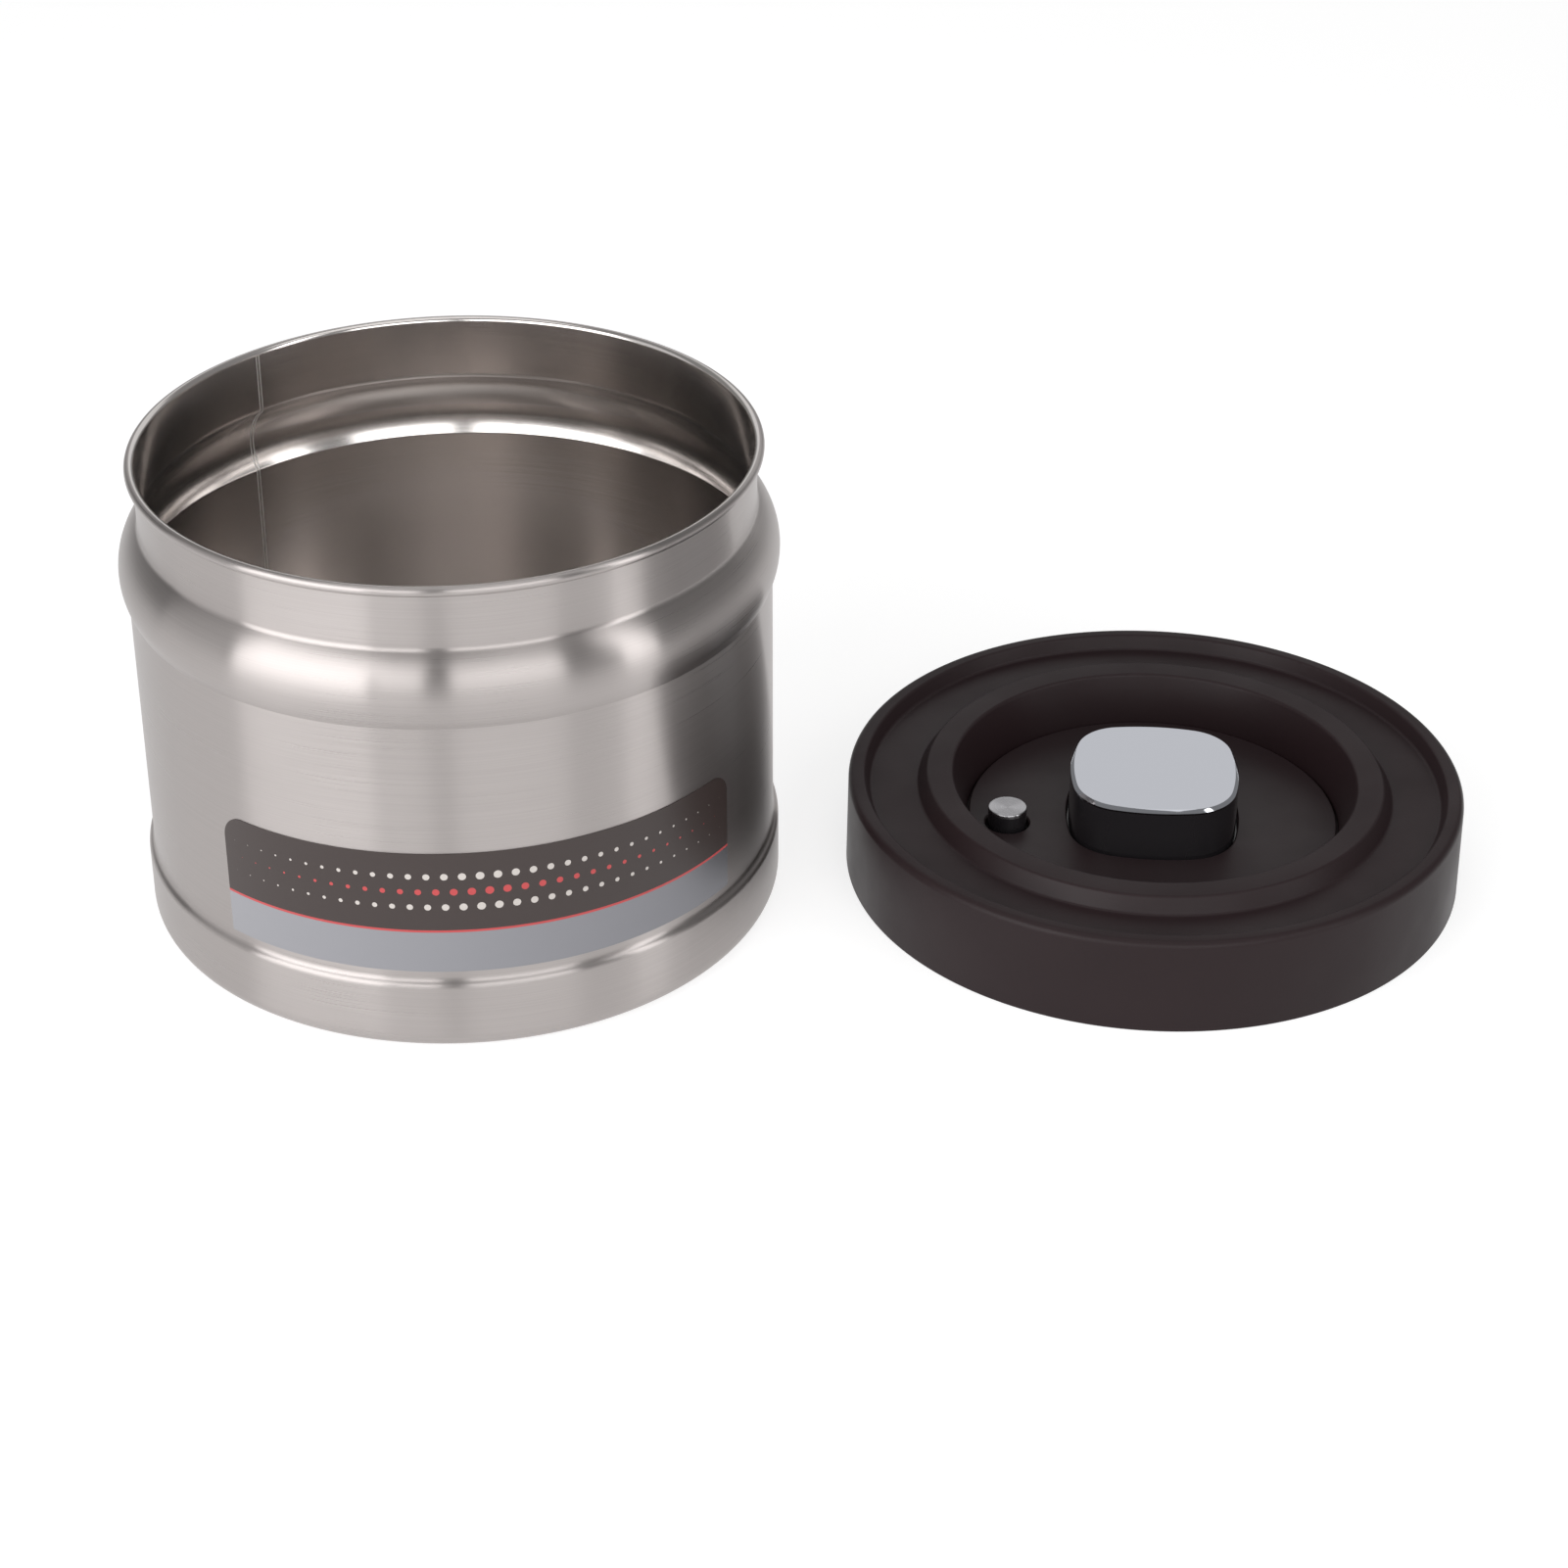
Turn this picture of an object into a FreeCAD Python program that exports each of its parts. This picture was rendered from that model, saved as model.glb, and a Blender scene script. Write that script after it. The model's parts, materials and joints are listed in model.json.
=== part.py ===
import FreeCAD
import Part
import Sketcher

import math
import os
from collections import namedtuple
from types import SimpleNamespace

# Vacuum seal canister: a stainless steel canister with its pump lid lying beside it.
# Millimetres, +Z up. The origin is on the canister's axis, in the plane that it stands on.
# Every lid piece is drawn about the lid's own axis and then placed beside the canister.

DRIVING_SIZES = {
    # canister, drawn from one sheet
    "canister_height": 100.0,
    "body_radius": 64.0,
    "sheet_wall": 0.5,
    "rim_inset": 1.5,
    "curl_radius": 1.0,
    "shoulder_bulge": 1.5,
    "shoulder_drop": 22.6,
    "shoulder_arc": 11.8,
    "neck_fillet": 1.5,
    "crease_fillet": 0.6,
    "band_step": 1.1,
    "band_height": 14.4,
    "step_fillet": 1.6,
    "foot_corner": 4.0,
    "foot_flange": 2.0,
    "base_rise": 2.2,
    "base_rise_run": 2.6,
    "base_rim_run": 3.0,
    "base_rounding": 0.8,
    "base_clearance": 0.1,
    # wrapped label
    "label_gap": 1.2,
    "label_height": 26.6,
    "label_thickness": 0.12,
    "label_clearance": 0.02,
    "label_corner": 5.0,
    "label_angle": 99.2,
    "label_turn": 9.5,
    # where the lid lies
    "lid_gap": 14.0,
    "lid_y": 5.5,
    "lid_turn": -5.0,
    # lid cover
    "lid_overhang": 1.7,
    "lid_taper": 0.3,
    "skirt_wall": 1.3,
    "skirt_edge": 0.4,
    "lip_width": 3.6,
    "lip_rise": 3.0,
    "lip_rounding": 1.5,
    "lip_run": 1.2,
    "lip_edge": 0.7,
    "channel_fillet": 0.8,
    "cover_wall": 1.8,
    "ring_run": 2.0,
    "ring_width": 5.3,
    "ring_rise": 3.3,
    "ring_rounding": 0.8,
    "bowl_run": 3.1,
    "bowl_depth": 10.0,
    "ledge_width": 2.6,
    "ledge_wall": 1.6,
    # pump deck
    "deck_height": 10.8,
    "deck_wall": 1.6,
    "deck_gap": 0.5,
    "deck_edge": 0.3,
    # plug that fills the mouth
    "plug_clearance": 1.2,
    "plug_wall": 3.4,
    "plug_floor": 0.6,
    "plug_floor_wall": 1.5,
    "plug_rounding": 0.8,
    "groove_bottom": 6.0,
    "groove_height": 5.0,
    "groove_depth": 1.8,
    "gasket_clearance": 0.05,
    "gasket_lip_reach": 1.6,
    "gasket_lip_wall": 0.9,
    "gasket_lip_drop": 0.7,
    # screws, driven up through the plug's floor
    "screw_radius": 1.35,
    "screw_head_radius": 2.8,
    "screw_head_height": 1.2,
    "screw_sink": 0.1,
    "screw_skin": 1.9,
    "screw_tip": 1.0,
    "screw_clearance": 0.05,
    "boss_radius": 2.9,
    # pump button
    "button_side_arc": 45.0,
    "button_corner_arc": 10.5,
    "button_side_wall": 2.3,
    "button_rise": 11.3,
    "button_roof": 1.8,
    "button_cap_wall": 1.0,
    "button_cap_bevel": 0.7,
    "button_clearance": 0.35,
    "flange_width": 1.2,
    "flange_wall": 1.0,
    "flange_gap": 0.1,
    # piston, fixed to the plug
    "piston_gap": 0.4,
    "piston_drop": 0.4,
    "piston_wall": 2.4,
    "piston_inlet": 2.0,
    "seal_height": 1.2,
    "seal_depth": 1.6,
    "seal_gap": 0.05,
    "seal_lip": 0.35,
    "intake_overlap": 0.9,
    "intake_wall": 0.5,
    "intake_port_radius": 0.8,
    "intake_port_margin": 0.5,
    "stud_radius": 1.2,
    "stud_head_radius": 2.2,
    "stud_head_height": 0.6,
    "pump_spring_wire": 0.9,
    # release valve
    "valve_margin": 0.2,
    "valve_turn": 11.0,
    "valve_head_radius": 4.05,
    "valve_hole_radius": 4.6,
    "valve_rise": 3.8,
    "valve_cap_wall": 0.8,
    "valve_cap_dish": 0.3,
    "valve_collar_radius": 5.4,
    "valve_collar_wall": 1.0,
    "valve_collar_gap": 0.2,
    "valve_room": 2.6,
    "valve_well_radius": 3.0,
    "valve_well_depth": 4.0,
    "valve_shank_radius": 1.6,
    "vent_radius": 2.0,
    "seat_radius": 6.5,
    "seat_wall": 1.5,
    "valve_seal_radius": 4.2,
    "valve_seal_wall": 1.2,
    "valve_foot_radius": 3.0,
    "valve_foot_wall": 0.8,
    "valve_spring_radius": 2.3,
    "valve_spring_wire": 0.4,
    "spring_clearance": 0.05,
    # cuts run this far past the face that they open
    "overrun": 1.0,
}

# What keeps its share of a larger piece when that piece changes size
SHARES = {
    "ring_foot_share": 0.77,
    "button_share": 0.455,
    "column_share": 0.7,
    "column_screw_share": 0.7,
    "port_share": 0.33,
    "spring_share": 0.61,
}

BOSS_COUNT = 4
PISTON_SCREW_COUNT = 3
INTAKE_PORT_COUNT = 6
PUMP_SPRING_TURNS = 3
VALVE_SPRING_TURNS = 5
FULL_TURN = 360.0
QUARTER_TURN = 90.0
ARCS_PER_TURN = 4

doc = FreeCAD.newDocument("VacuumCanister")
sheet = doc.addObject("Spreadsheet::Sheet", "Sizes")
GIVEN = {**DRIVING_SIZES, **SHARES}
for row, (name, value) in enumerate(GIVEN.items(), start=1):
    sheet.set(f"A{row}", name)
    sheet.set(f"B{row}", str(value))
    sheet.setAlias(f"B{row}", name)
doc.recompute()


class Size:
    """A size as the expression that the document keeps, with its present value."""

    def __init__(self, text, value):
        self.text = text
        self.value = value

    @staticmethod
    def of(other):
        return other if isinstance(other, Size) else Size(repr(other), other)

    def __add__(self, other):
        other = Size.of(other)
        return Size(f"({self.text} + {other.text})", self.value + other.value)

    def __sub__(self, other):
        other = Size.of(other)
        return Size(f"({self.text} - {other.text})", self.value - other.value)

    def __mul__(self, other):
        other = Size.of(other)
        return Size(f"({self.text} * {other.text})", self.value * other.value)

    def __truediv__(self, other):
        other = Size.of(other)
        return Size(f"({self.text} / {other.text})", self.value / other.value)

    def __neg__(self):
        return Size(f"(-{self.text})", -self.value)

    def leg(self, other):
        """The other leg of a right triangle whose long side is this size."""
        square = self * self - other * other
        return Size(f"sqrt({square.text})", math.sqrt(square.value))

    def cosine(self):
        return Size(f"cos({self.text} * 1 deg)", math.cos(math.radians(self.value)))

    def sine(self):
        return Size(f"sin({self.text} * 1 deg)", math.sin(math.radians(self.value)))


size = SimpleNamespace(**{name: Size(f"Sizes.{name}", float(sheet.get(name))) for name in GIVEN})
ZERO = Size("0", 0.0)

# A corner of an outline, sharp or rounded; and an arc between two corners, bowed to the left of the
# way that the outline runs (side 1) or to its right (side -1).
Corner = namedtuple("Corner", "x y rounding", defaults=[None])
Bend = namedtuple("Bend", "radius side")
Spot = namedtuple("Spot", "shape place")


def pinned(constraints, spot, corner):
    """Hold one point of a sketch at a corner's two sizes, measured from the origin."""
    for kind, measure in (("DistanceX", corner.x), ("DistanceY", corner.y)):
        held = Sketcher.Constraint(kind, -1, 1, spot.shape, spot.place, measure.value)
        constraints.append((held, measure))


def add_bend(sketch, start, end, bend):
    """An arc between two points. Gives the spots of its first and last point in outline order."""
    middle = (start + end) * 0.5
    half = (end - start) * 0.5
    left = FreeCAD.Vector(-half.y, half.x, 0).normalize()
    bow = bend.radius.value - math.sqrt(max(bend.radius.value**2 - half.Length**2, 0))
    shape = sketch.addGeometry(Part.Arc(start, middle + left * bow * bend.side, end), False)
    first = sketch.getPoint(shape, 1)
    turned = first.distanceToPoint(start) > first.distanceToPoint(end)
    return (Spot(shape, 2), Spot(shape, 1)) if turned else (Spot(shape, 1), Spot(shape, 2))


def rounding_ends(before, point, after, radius):
    """Where a rounding of a corner between two straight sides begins and ends."""
    back = (before - point).normalize()
    ahead = (after - point).normalize()
    reach = radius / math.tan(back.getAngle(ahead) / 2)
    return point + back * reach, point + ahead * reach


def draw(sketch, outline):
    """Draw a closed outline and bind its corners, roundings and bends to their sizes."""
    corners = [item for item in outline if isinstance(item, Corner)]
    bends = {}
    for item in outline:
        if isinstance(item, Corner):
            latest = corners.index(item)
        else:
            bends[latest] = item
    points = [FreeCAD.Vector(corner.x.value, corner.y.value, 0) for corner in corners]
    count = len(corners)
    arrive = list(points)
    leave = list(points)
    for i, corner in enumerate(corners):
        if corner.rounding:
            after = points[(i + 1) % count]
            arrive[i], leave[i] = rounding_ends(points[i - 1], points[i], after, corner.rounding.value)
    first = []
    last = []
    constraints = []
    for i in range(count):
        start = leave[i]
        end = arrive[(i + 1) % count]
        if i in bends:
            begin, finish = add_bend(sketch, start, end, bends[i])
            radius = bends[i].radius
            constraints.append((Sketcher.Constraint("Radius", begin.shape, radius.value), radius))
        else:
            side = sketch.addGeometry(Part.LineSegment(start, end), False)
            begin, finish = Spot(side, 1), Spot(side, 2)
        first.append(begin)
        last.append(finish)
    for i, corner in enumerate(corners):
        side_in, side_out = last[i - 1], first[i]
        if not corner.rounding:
            constraints.append((Sketcher.Constraint("Coincident", *side_in, *side_out), None))
            pinned(constraints, side_out, corner)
            continue
        cross = (points[i] - arrive[i]).cross(leave[i] - points[i]).z
        bend = Bend(corner.rounding, -1 if cross > 0 else 1)
        begin, finish = add_bend(sketch, arrive[i], leave[i], bend)
        tip = Spot(sketch.addGeometry(Part.Point(points[i]), True), 1)
        pinned(constraints, tip, corner)
        constraints.append((Sketcher.Constraint("PointOnObject", *tip, side_in.shape), None))
        constraints.append((Sketcher.Constraint("PointOnObject", *tip, side_out.shape), None))
        constraints.append((Sketcher.Constraint("Tangent", *side_in, *begin), None))
        constraints.append((Sketcher.Constraint("Tangent", *finish, *side_out), None))
        round_off = Sketcher.Constraint("Radius", begin.shape, corner.rounding.value)
        constraints.append((round_off, corner.rounding))
    bind(sketch, constraints)


def draw_circle(sketch, x, y, radius):
    """Draw a circle and bind its centre and radius."""
    centre = FreeCAD.Vector(x.value, y.value, 0)
    shape = sketch.addGeometry(Part.Circle(centre, FreeCAD.Vector(0, 0, 1), radius.value), False)
    constraints = [(Sketcher.Constraint("Radius", shape, radius.value), radius)]
    pinned(constraints, Spot(shape, 3), Corner(x, y))
    bind(sketch, constraints)


def bind(sketch, constraints):
    """Add the constraints at once, then bind each measured one to its expression."""
    places = sketch.addConstraint([constraint for constraint, _ in constraints])
    for place, (_, measure) in zip(places, constraints):
        if measure is not None:
            sketch.setExpression(f"Constraints[{place}]", measure.text)


def new_body(label):
    body = doc.addObject("PartDesign::Body", label)
    body.Label = label
    return body


def new_sketch(body, name, role, height=None):
    """A sketch on one of the body's origin planes, raised by a height if one is given."""
    sketch = body.newObject("Sketcher::SketchObject", name)
    plane = next(item for item in body.Origin.OriginFeatures if item.Role == role)
    sketch.AttachmentSupport = (plane, [""])
    sketch.MapMode = "FlatFace"
    if height is not None:
        sketch.setExpression("AttachmentOffset.Base.z", height.text)
    return sketch


def revolve(body, outline, name="Turned"):
    """A turned solid from an outline of radius and height."""
    sketch = new_sketch(body, f"{name}Outline", "XZ_Plane")
    draw(sketch, outline)
    turned = body.newObject("PartDesign::Revolution", name)
    turned.Profile = sketch
    turned.ReferenceAxis = (sketch, ["V_Axis"])
    turned.Angle = FULL_TURN
    return turned


def bore(body, name, x, y, radius, bottom, top):
    """A round hole from one height to another."""
    sketch = new_sketch(body, f"{name}Circle", "XY_Plane", bottom)
    draw_circle(sketch, x, y, radius)
    return cut_upward(body, name, sketch, top - bottom)


def cut_upward(body, name, sketch, depth):
    pocket = body.newObject("PartDesign::Pocket", name)
    pocket.Profile = sketch
    pocket.Reversed = True
    pocket.setExpression("Length", depth.text)
    return pocket


def raise_solid(body, name, sketch, height):
    pad = body.newObject("PartDesign::Pad", name)
    pad.Profile = sketch
    pad.setExpression("Length", height.text)
    return pad


def around(body, features, count):
    """Repeat features evenly about the body's axis."""
    pattern = body.newObject("PartDesign::PolarPattern", f"{features[0].Name}Pattern")
    pattern.Originals = features
    pattern.Axis = (features[0].Profile[0], ["N_Axis"])
    pattern.Angle = FULL_TURN
    pattern.Occurrences = count
    body.Tip = pattern
    return pattern


def place(piece, x, y, turn):
    """Stand a piece at a spot, turned about +Z, with both bound to their sizes."""
    spot = FreeCAD.Vector(x.value, y.value, 0)
    piece.Placement = FreeCAD.Placement(spot, FreeCAD.Rotation(FreeCAD.Vector(0, 0, 1), turn.value))
    piece.setExpression("Placement.Base.x", x.text)
    piece.setExpression("Placement.Base.y", y.text)
    piece.setExpression("Placement.Rotation.Angle", f"{turn.text} * 1 deg")


def place_on_lid(piece):
    place(piece, lid_x, size.lid_y, size.lid_turn)


def place_at_valve(piece):
    turn = size.lid_turn + size.valve_turn
    x = lid_x - valve_reach * turn.cosine()
    y = size.lid_y - valve_reach * turn.sine()
    place(piece, x, y, turn)


def tube_outline(inner, outer, bottom, top):
    """A plain ring: inner and outer radius, bottom and top height."""
    return [Corner(inner, bottom), Corner(outer, bottom), Corner(outer, top), Corner(inner, top)]


def squircle(half, side_arc, corner_arc):
    """A square with bowed sides and round corners, as eight tangent arcs about the origin."""
    offset = side_arc - half
    reach = side_arc - corner_arc
    diagonal = Size(f"sqrt({(reach * reach * 2 - offset * offset).text})",
                    math.sqrt((reach * reach * 2 - offset * offset).value))
    middle = (diagonal - offset) / 2
    long = side_arc * (middle + offset) / reach - offset
    short = side_arc * middle / reach
    side = Bend(side_arc, -1)
    turn = Bend(corner_arc, -1)
    return [
        Corner(long, -short), side, Corner(long, short), turn,
        Corner(short, long), side, Corner(-short, long), turn,
        Corner(-long, short), side, Corner(-long, -short), turn,
        Corner(-short, -long), side, Corner(short, -long), turn,
    ]


def grown_squircle(growth):
    """The button's plan, grown or shrunk all round."""
    return squircle(button_half + growth, size.button_side_arc + growth, size.button_corner_arc + growth)


# Heights and radii that several pieces share
rim_radius = size.body_radius - size.rim_inset
shoulder_radius = size.body_radius + size.shoulder_bulge
shoulder_height = size.canister_height - size.shoulder_drop
band_radius = size.body_radius + size.band_step
step_height = (size.step_fillet * 2).leg(size.step_fillet * 2 - size.band_step)
step_top = size.band_height + step_height
label_bottom = step_top + size.label_gap
neck_inner = rim_radius - size.curl_radius * 2
neck_outer = neck_inner + size.sheet_wall
lid_radius = rim_radius + size.lid_overhang
lid_x = shoulder_radius + size.lid_gap + lid_radius
lip_inner_radius = lid_radius - size.lip_width
ring_foot_radius = lid_radius * size.ring_foot_share
ring_outer_radius = ring_foot_radius - size.ring_run
ring_inner_radius = ring_outer_radius - size.ring_width
bowl_radius = ring_inner_radius - size.bowl_run
ledge_inner = bowl_radius - size.ledge_width
deck_radius = bowl_radius - size.deck_gap
ring_height = size.deck_height + size.bowl_depth
channel_height = ring_height - size.ring_rise
lip_height = channel_height + size.lip_rise
channel_under = channel_height - size.cover_wall
deck_under = size.deck_height - size.deck_wall
plug_radius = neck_inner - size.plug_clearance
plug_inner = plug_radius - size.plug_wall
floor_top = size.plug_floor + size.plug_floor_wall
boss_reach = plug_inner - size.plug_rounding - size.boss_radius
groove_radius = plug_radius - size.groove_depth
button_half = deck_radius * size.button_share
button_bore = button_half - size.button_side_wall
button_top = size.deck_height + size.button_rise
button_bottom = deck_under - size.flange_gap - size.flange_wall
button_ceiling = button_top - size.button_cap_wall - size.button_roof
piston_radius = button_bore - size.piston_gap
piston_column = piston_radius * size.column_share
piston_screw_reach = piston_column * size.column_screw_share
piston_top = size.deck_height - size.piston_drop
piston_under = piston_top - size.piston_wall
seal_bottom = piston_under + (size.piston_wall - size.seal_height) / 2
seal_inner = piston_radius - size.seal_depth
intake_port_reach = piston_column * size.port_share
inlet_radius = intake_port_reach + size.intake_port_radius + size.intake_port_margin
intake_radius = inlet_radius + size.intake_overlap
pump_spring_radius = piston_radius * size.spring_share
screw_head_under = size.plug_floor + size.screw_sink
screw_head_top = screw_head_under + size.screw_head_height
screw_end = piston_top - size.screw_skin
screw_hole_top = screw_end + size.screw_clearance
valve_reach = ledge_inner - size.valve_collar_radius - size.valve_margin
valve_x = -valve_reach * size.valve_turn.cosine()
valve_y = -valve_reach * size.valve_turn.sine()
valve_top = size.deck_height + size.valve_rise
collar_top = deck_under - size.valve_collar_gap
collar_under = collar_top - size.valve_collar_wall
valve_well_top = collar_under + size.valve_well_depth
seat_height = collar_under - size.valve_room
seat_under = seat_height - size.seat_wall


def canister_wall():
    """One sheet from the curled rim over the neck, shoulder, body and foot band to the foot's flange.

    Every arc of the inside has the centre of the arc outside it, so the sheet is even.
    """
    wall = size.sheet_wall
    curl_centre = rim_radius - size.curl_radius
    curl_height = size.canister_height - size.curl_radius
    curl_inside = size.curl_radius - wall
    shoulder_centre = shoulder_radius - size.shoulder_arc

    def shoulder_blend(radius, fillet, side):
        """Where a fillet between an upright wall and the shoulder touches each, outside and inside."""
        run = radius + fillet - shoulder_centre
        reach = size.shoulder_arc + fillet
        rise = reach.leg(run) * side
        upright = shoulder_height + rise
        inner_arc = size.shoulder_arc - wall
        return SimpleNamespace(
            upright=upright,
            touch=Corner(shoulder_centre + size.shoulder_arc * run / reach,
                         shoulder_height + size.shoulder_arc * rise / reach),
            inner_touch=Corner(shoulder_centre + inner_arc * run / reach,
                               shoulder_height + inner_arc * rise / reach),
        )

    neck = shoulder_blend(neck_outer, size.neck_fillet, 1)
    crease = shoulder_blend(size.body_radius, size.crease_fillet, -1)
    step = size.band_step
    step_shift = wall * (step_height / (size.step_fillet * 4))
    step_inset = wall * (size.step_fillet * 2 - step) / (size.step_fillet * 2)
    step_middle = size.body_radius + step / 2
    step_level = size.band_height + step_height / 2
    foot_inside = band_radius - size.foot_corner
    flange_inside = foot_inside - size.foot_flange
    shoulder_inner_arc = size.shoulder_arc - wall
    outside = [
        Corner(curl_centre, curl_height - curl_inside), Bend(curl_inside, -1),
        Corner(curl_centre + curl_inside, curl_height), Bend(curl_inside, -1),
        Corner(curl_centre, curl_height + curl_inside), Bend(curl_inside, -1),
        Corner(neck_outer, curl_height),
        Corner(neck_outer, neck.upright), Bend(size.neck_fillet, -1),
        neck.touch, Bend(size.shoulder_arc, 1),
        Corner(shoulder_radius, shoulder_height), Bend(size.shoulder_arc, 1),
        crease.touch, Bend(size.crease_fillet, -1),
        Corner(size.body_radius, crease.upright),
        Corner(size.body_radius, step_top), Bend(size.step_fillet, -1),
        Corner(step_middle, step_level), Bend(size.step_fillet, 1),
        Corner(band_radius, size.band_height),
        Corner(band_radius, size.foot_corner), Bend(size.foot_corner, 1),
        Corner(foot_inside, ZERO),
    ]
    inside = [
        Corner(flange_inside, ZERO),
        Corner(flange_inside, wall),
        Corner(foot_inside, wall), Bend(size.foot_corner - wall, -1),
        Corner(band_radius - wall, size.foot_corner),
        Corner(band_radius - wall, size.band_height), Bend(size.step_fillet - wall, -1),
        Corner(step_middle - step_inset, step_level - step_shift * 2), Bend(size.step_fillet + wall, 1),
        Corner(size.body_radius - wall, step_top),
        Corner(size.body_radius - wall, crease.upright), Bend(size.crease_fillet + wall, 1),
        crease.inner_touch, Bend(shoulder_inner_arc, -1),
        Corner(shoulder_radius - wall, shoulder_height), Bend(shoulder_inner_arc, -1),
        neck.inner_touch, Bend(size.neck_fillet + wall, 1),
        Corner(neck_inner, neck.upright),
        Corner(neck_inner, curl_height), Bend(size.curl_radius, 1),
        Corner(curl_centre, size.canister_height), Bend(size.curl_radius, 1),
        Corner(rim_radius, curl_height), Bend(size.curl_radius, 1),
        Corner(curl_centre, curl_height - size.curl_radius),
    ]
    body = new_body("canister_wall")
    revolve(body, outside + inside)
    return body


def canister_base():
    """A pressed disc that lies on the foot's flange, with its middle raised off the table."""
    wall = size.sheet_wall
    rim = band_radius - size.foot_corner - size.base_clearance
    rise_foot = rim - size.base_rim_run
    rise_head = rise_foot - size.base_rise_run
    low = wall
    high = wall + size.base_rise
    body = new_body("canister_base")
    revolve(body, [
        Corner(ZERO, high),
        Corner(rise_head, high, size.base_rounding),
        Corner(rise_foot, low, size.base_rounding + wall),
        Corner(rim, low),
        Corner(rim, low + wall),
        Corner(rise_foot, low + wall, size.base_rounding),
        Corner(rise_head, high + wall, size.base_rounding + wall),
        Corner(ZERO, high + wall),
    ])
    return body


def label_band():
    """A thin label wrapped round the lower front of the body, with its two upper corners rounded."""
    inner = size.body_radius + size.label_clearance
    outer = inner + size.label_thickness
    height = size.label_height
    body = new_body("label_band")
    turned = revolve(body, tube_outline(inner, outer, ZERO, height), "Wrap")
    turned.Midplane = True
    turned.setExpression("Angle", f"{size.label_angle.text} * 1 deg")
    # The corners are cut by a slab seen from the front: a gap with rounded lower ends is left out of it.
    half_angle = size.label_angle / 2
    half_width = outer * half_angle.sine()
    run = half_width - size.label_corner
    level = height - size.label_corner
    past_side = half_width + size.overrun
    past_top = height + size.overrun
    sketch = new_sketch(body, "CornerOutline", "YZ_Plane")
    for side in (1, -1):
        draw(sketch, [
            Corner(run * side, height), Bend(size.label_corner, side),
            Corner(half_width * side, level),
            Corner(past_side * side, level),
            Corner(past_side * side, past_top),
            Corner(run * side, past_top),
        ])
    corners = body.newObject("PartDesign::Pocket", "Corners")
    corners.Profile = sketch
    corners.Reversed = True
    corners.setExpression("Length", (outer + size.overrun).text)
    place(body, ZERO, ZERO, size.label_turn - QUARTER_TURN)
    body.setExpression("Placement.Base.z", label_bottom.text)
    return body


def lid_cover():
    """The moulded cover: skirt, rounded lip, flat channel, raised ring and the bowl down to a ledge."""
    wall = size.cover_wall
    skirt_inner = lid_radius - size.skirt_wall
    ring_under = ring_height - wall
    ledge_top = deck_under
    ledge_under = ledge_top - size.ledge_wall
    channel_outer = lip_inner_radius - size.lip_run
    body = new_body("lid_cover")
    revolve(body, [
        Corner(skirt_inner, ZERO),
        Corner(lid_radius, ZERO, size.skirt_edge),
        Corner(lid_radius - size.lid_taper, lip_height, size.lip_rounding),
        Corner(lip_inner_radius, lip_height, size.lip_edge),
        Corner(channel_outer, channel_height, size.channel_fillet),
        Corner(ring_foot_radius, channel_height, size.channel_fillet),
        Corner(ring_outer_radius, ring_height, size.ring_rounding),
        Corner(ring_inner_radius, ring_height, size.ring_rounding),
        Corner(bowl_radius, size.deck_height),
        Corner(bowl_radius, ledge_top),
        Corner(ledge_inner, ledge_top),
        Corner(ledge_inner, ledge_under),
        Corner(bowl_radius + wall, ledge_under),
        Corner(bowl_radius + wall, size.deck_height),
        Corner(ring_inner_radius + wall, ring_under, size.ring_rounding),
        Corner(ring_outer_radius - wall, ring_under, size.ring_rounding),
        Corner(ring_foot_radius - wall, channel_under),
        Corner(skirt_inner, channel_under, size.channel_fillet),
    ], "Moulding")
    sketch = new_sketch(body, "BossCircle", "XY_Plane", floor_top)
    draw_circle(sketch, boss_reach, ZERO, size.boss_radius)
    boss = raise_solid(body, "Boss", sketch, channel_under + wall / 2 - floor_top)
    around(body, [boss], BOSS_COUNT)
    hole_radius = size.screw_radius + size.screw_clearance
    bottom = floor_top - size.overrun
    hole = bore(body, "Pilot", boss_reach, ZERO, hole_radius, bottom, screw_hole_top)
    around(body, [hole], BOSS_COUNT)
    place_on_lid(body)
    return body


def pump_deck():
    """The separate floor of the bowl, with the openings for the button and the release valve."""
    body = new_body("pump_deck")
    revolve(body, [
        Corner(ZERO, deck_under),
        Corner(deck_radius, deck_under),
        Corner(deck_radius, size.deck_height, size.deck_edge),
        Corner(ZERO, size.deck_height),
    ], "Disc")
    bottom = deck_under - size.overrun
    top = size.deck_height + size.overrun
    sketch = new_sketch(body, "ButtonOutline", "XY_Plane", bottom)
    draw(sketch, grown_squircle(size.button_clearance))
    cut_upward(body, "ButtonOpening", sketch, top - bottom)
    bore(body, "ValveOpening", valve_x, valve_y, size.valve_hole_radius, bottom, top)
    place_on_lid(body)
    return body


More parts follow.
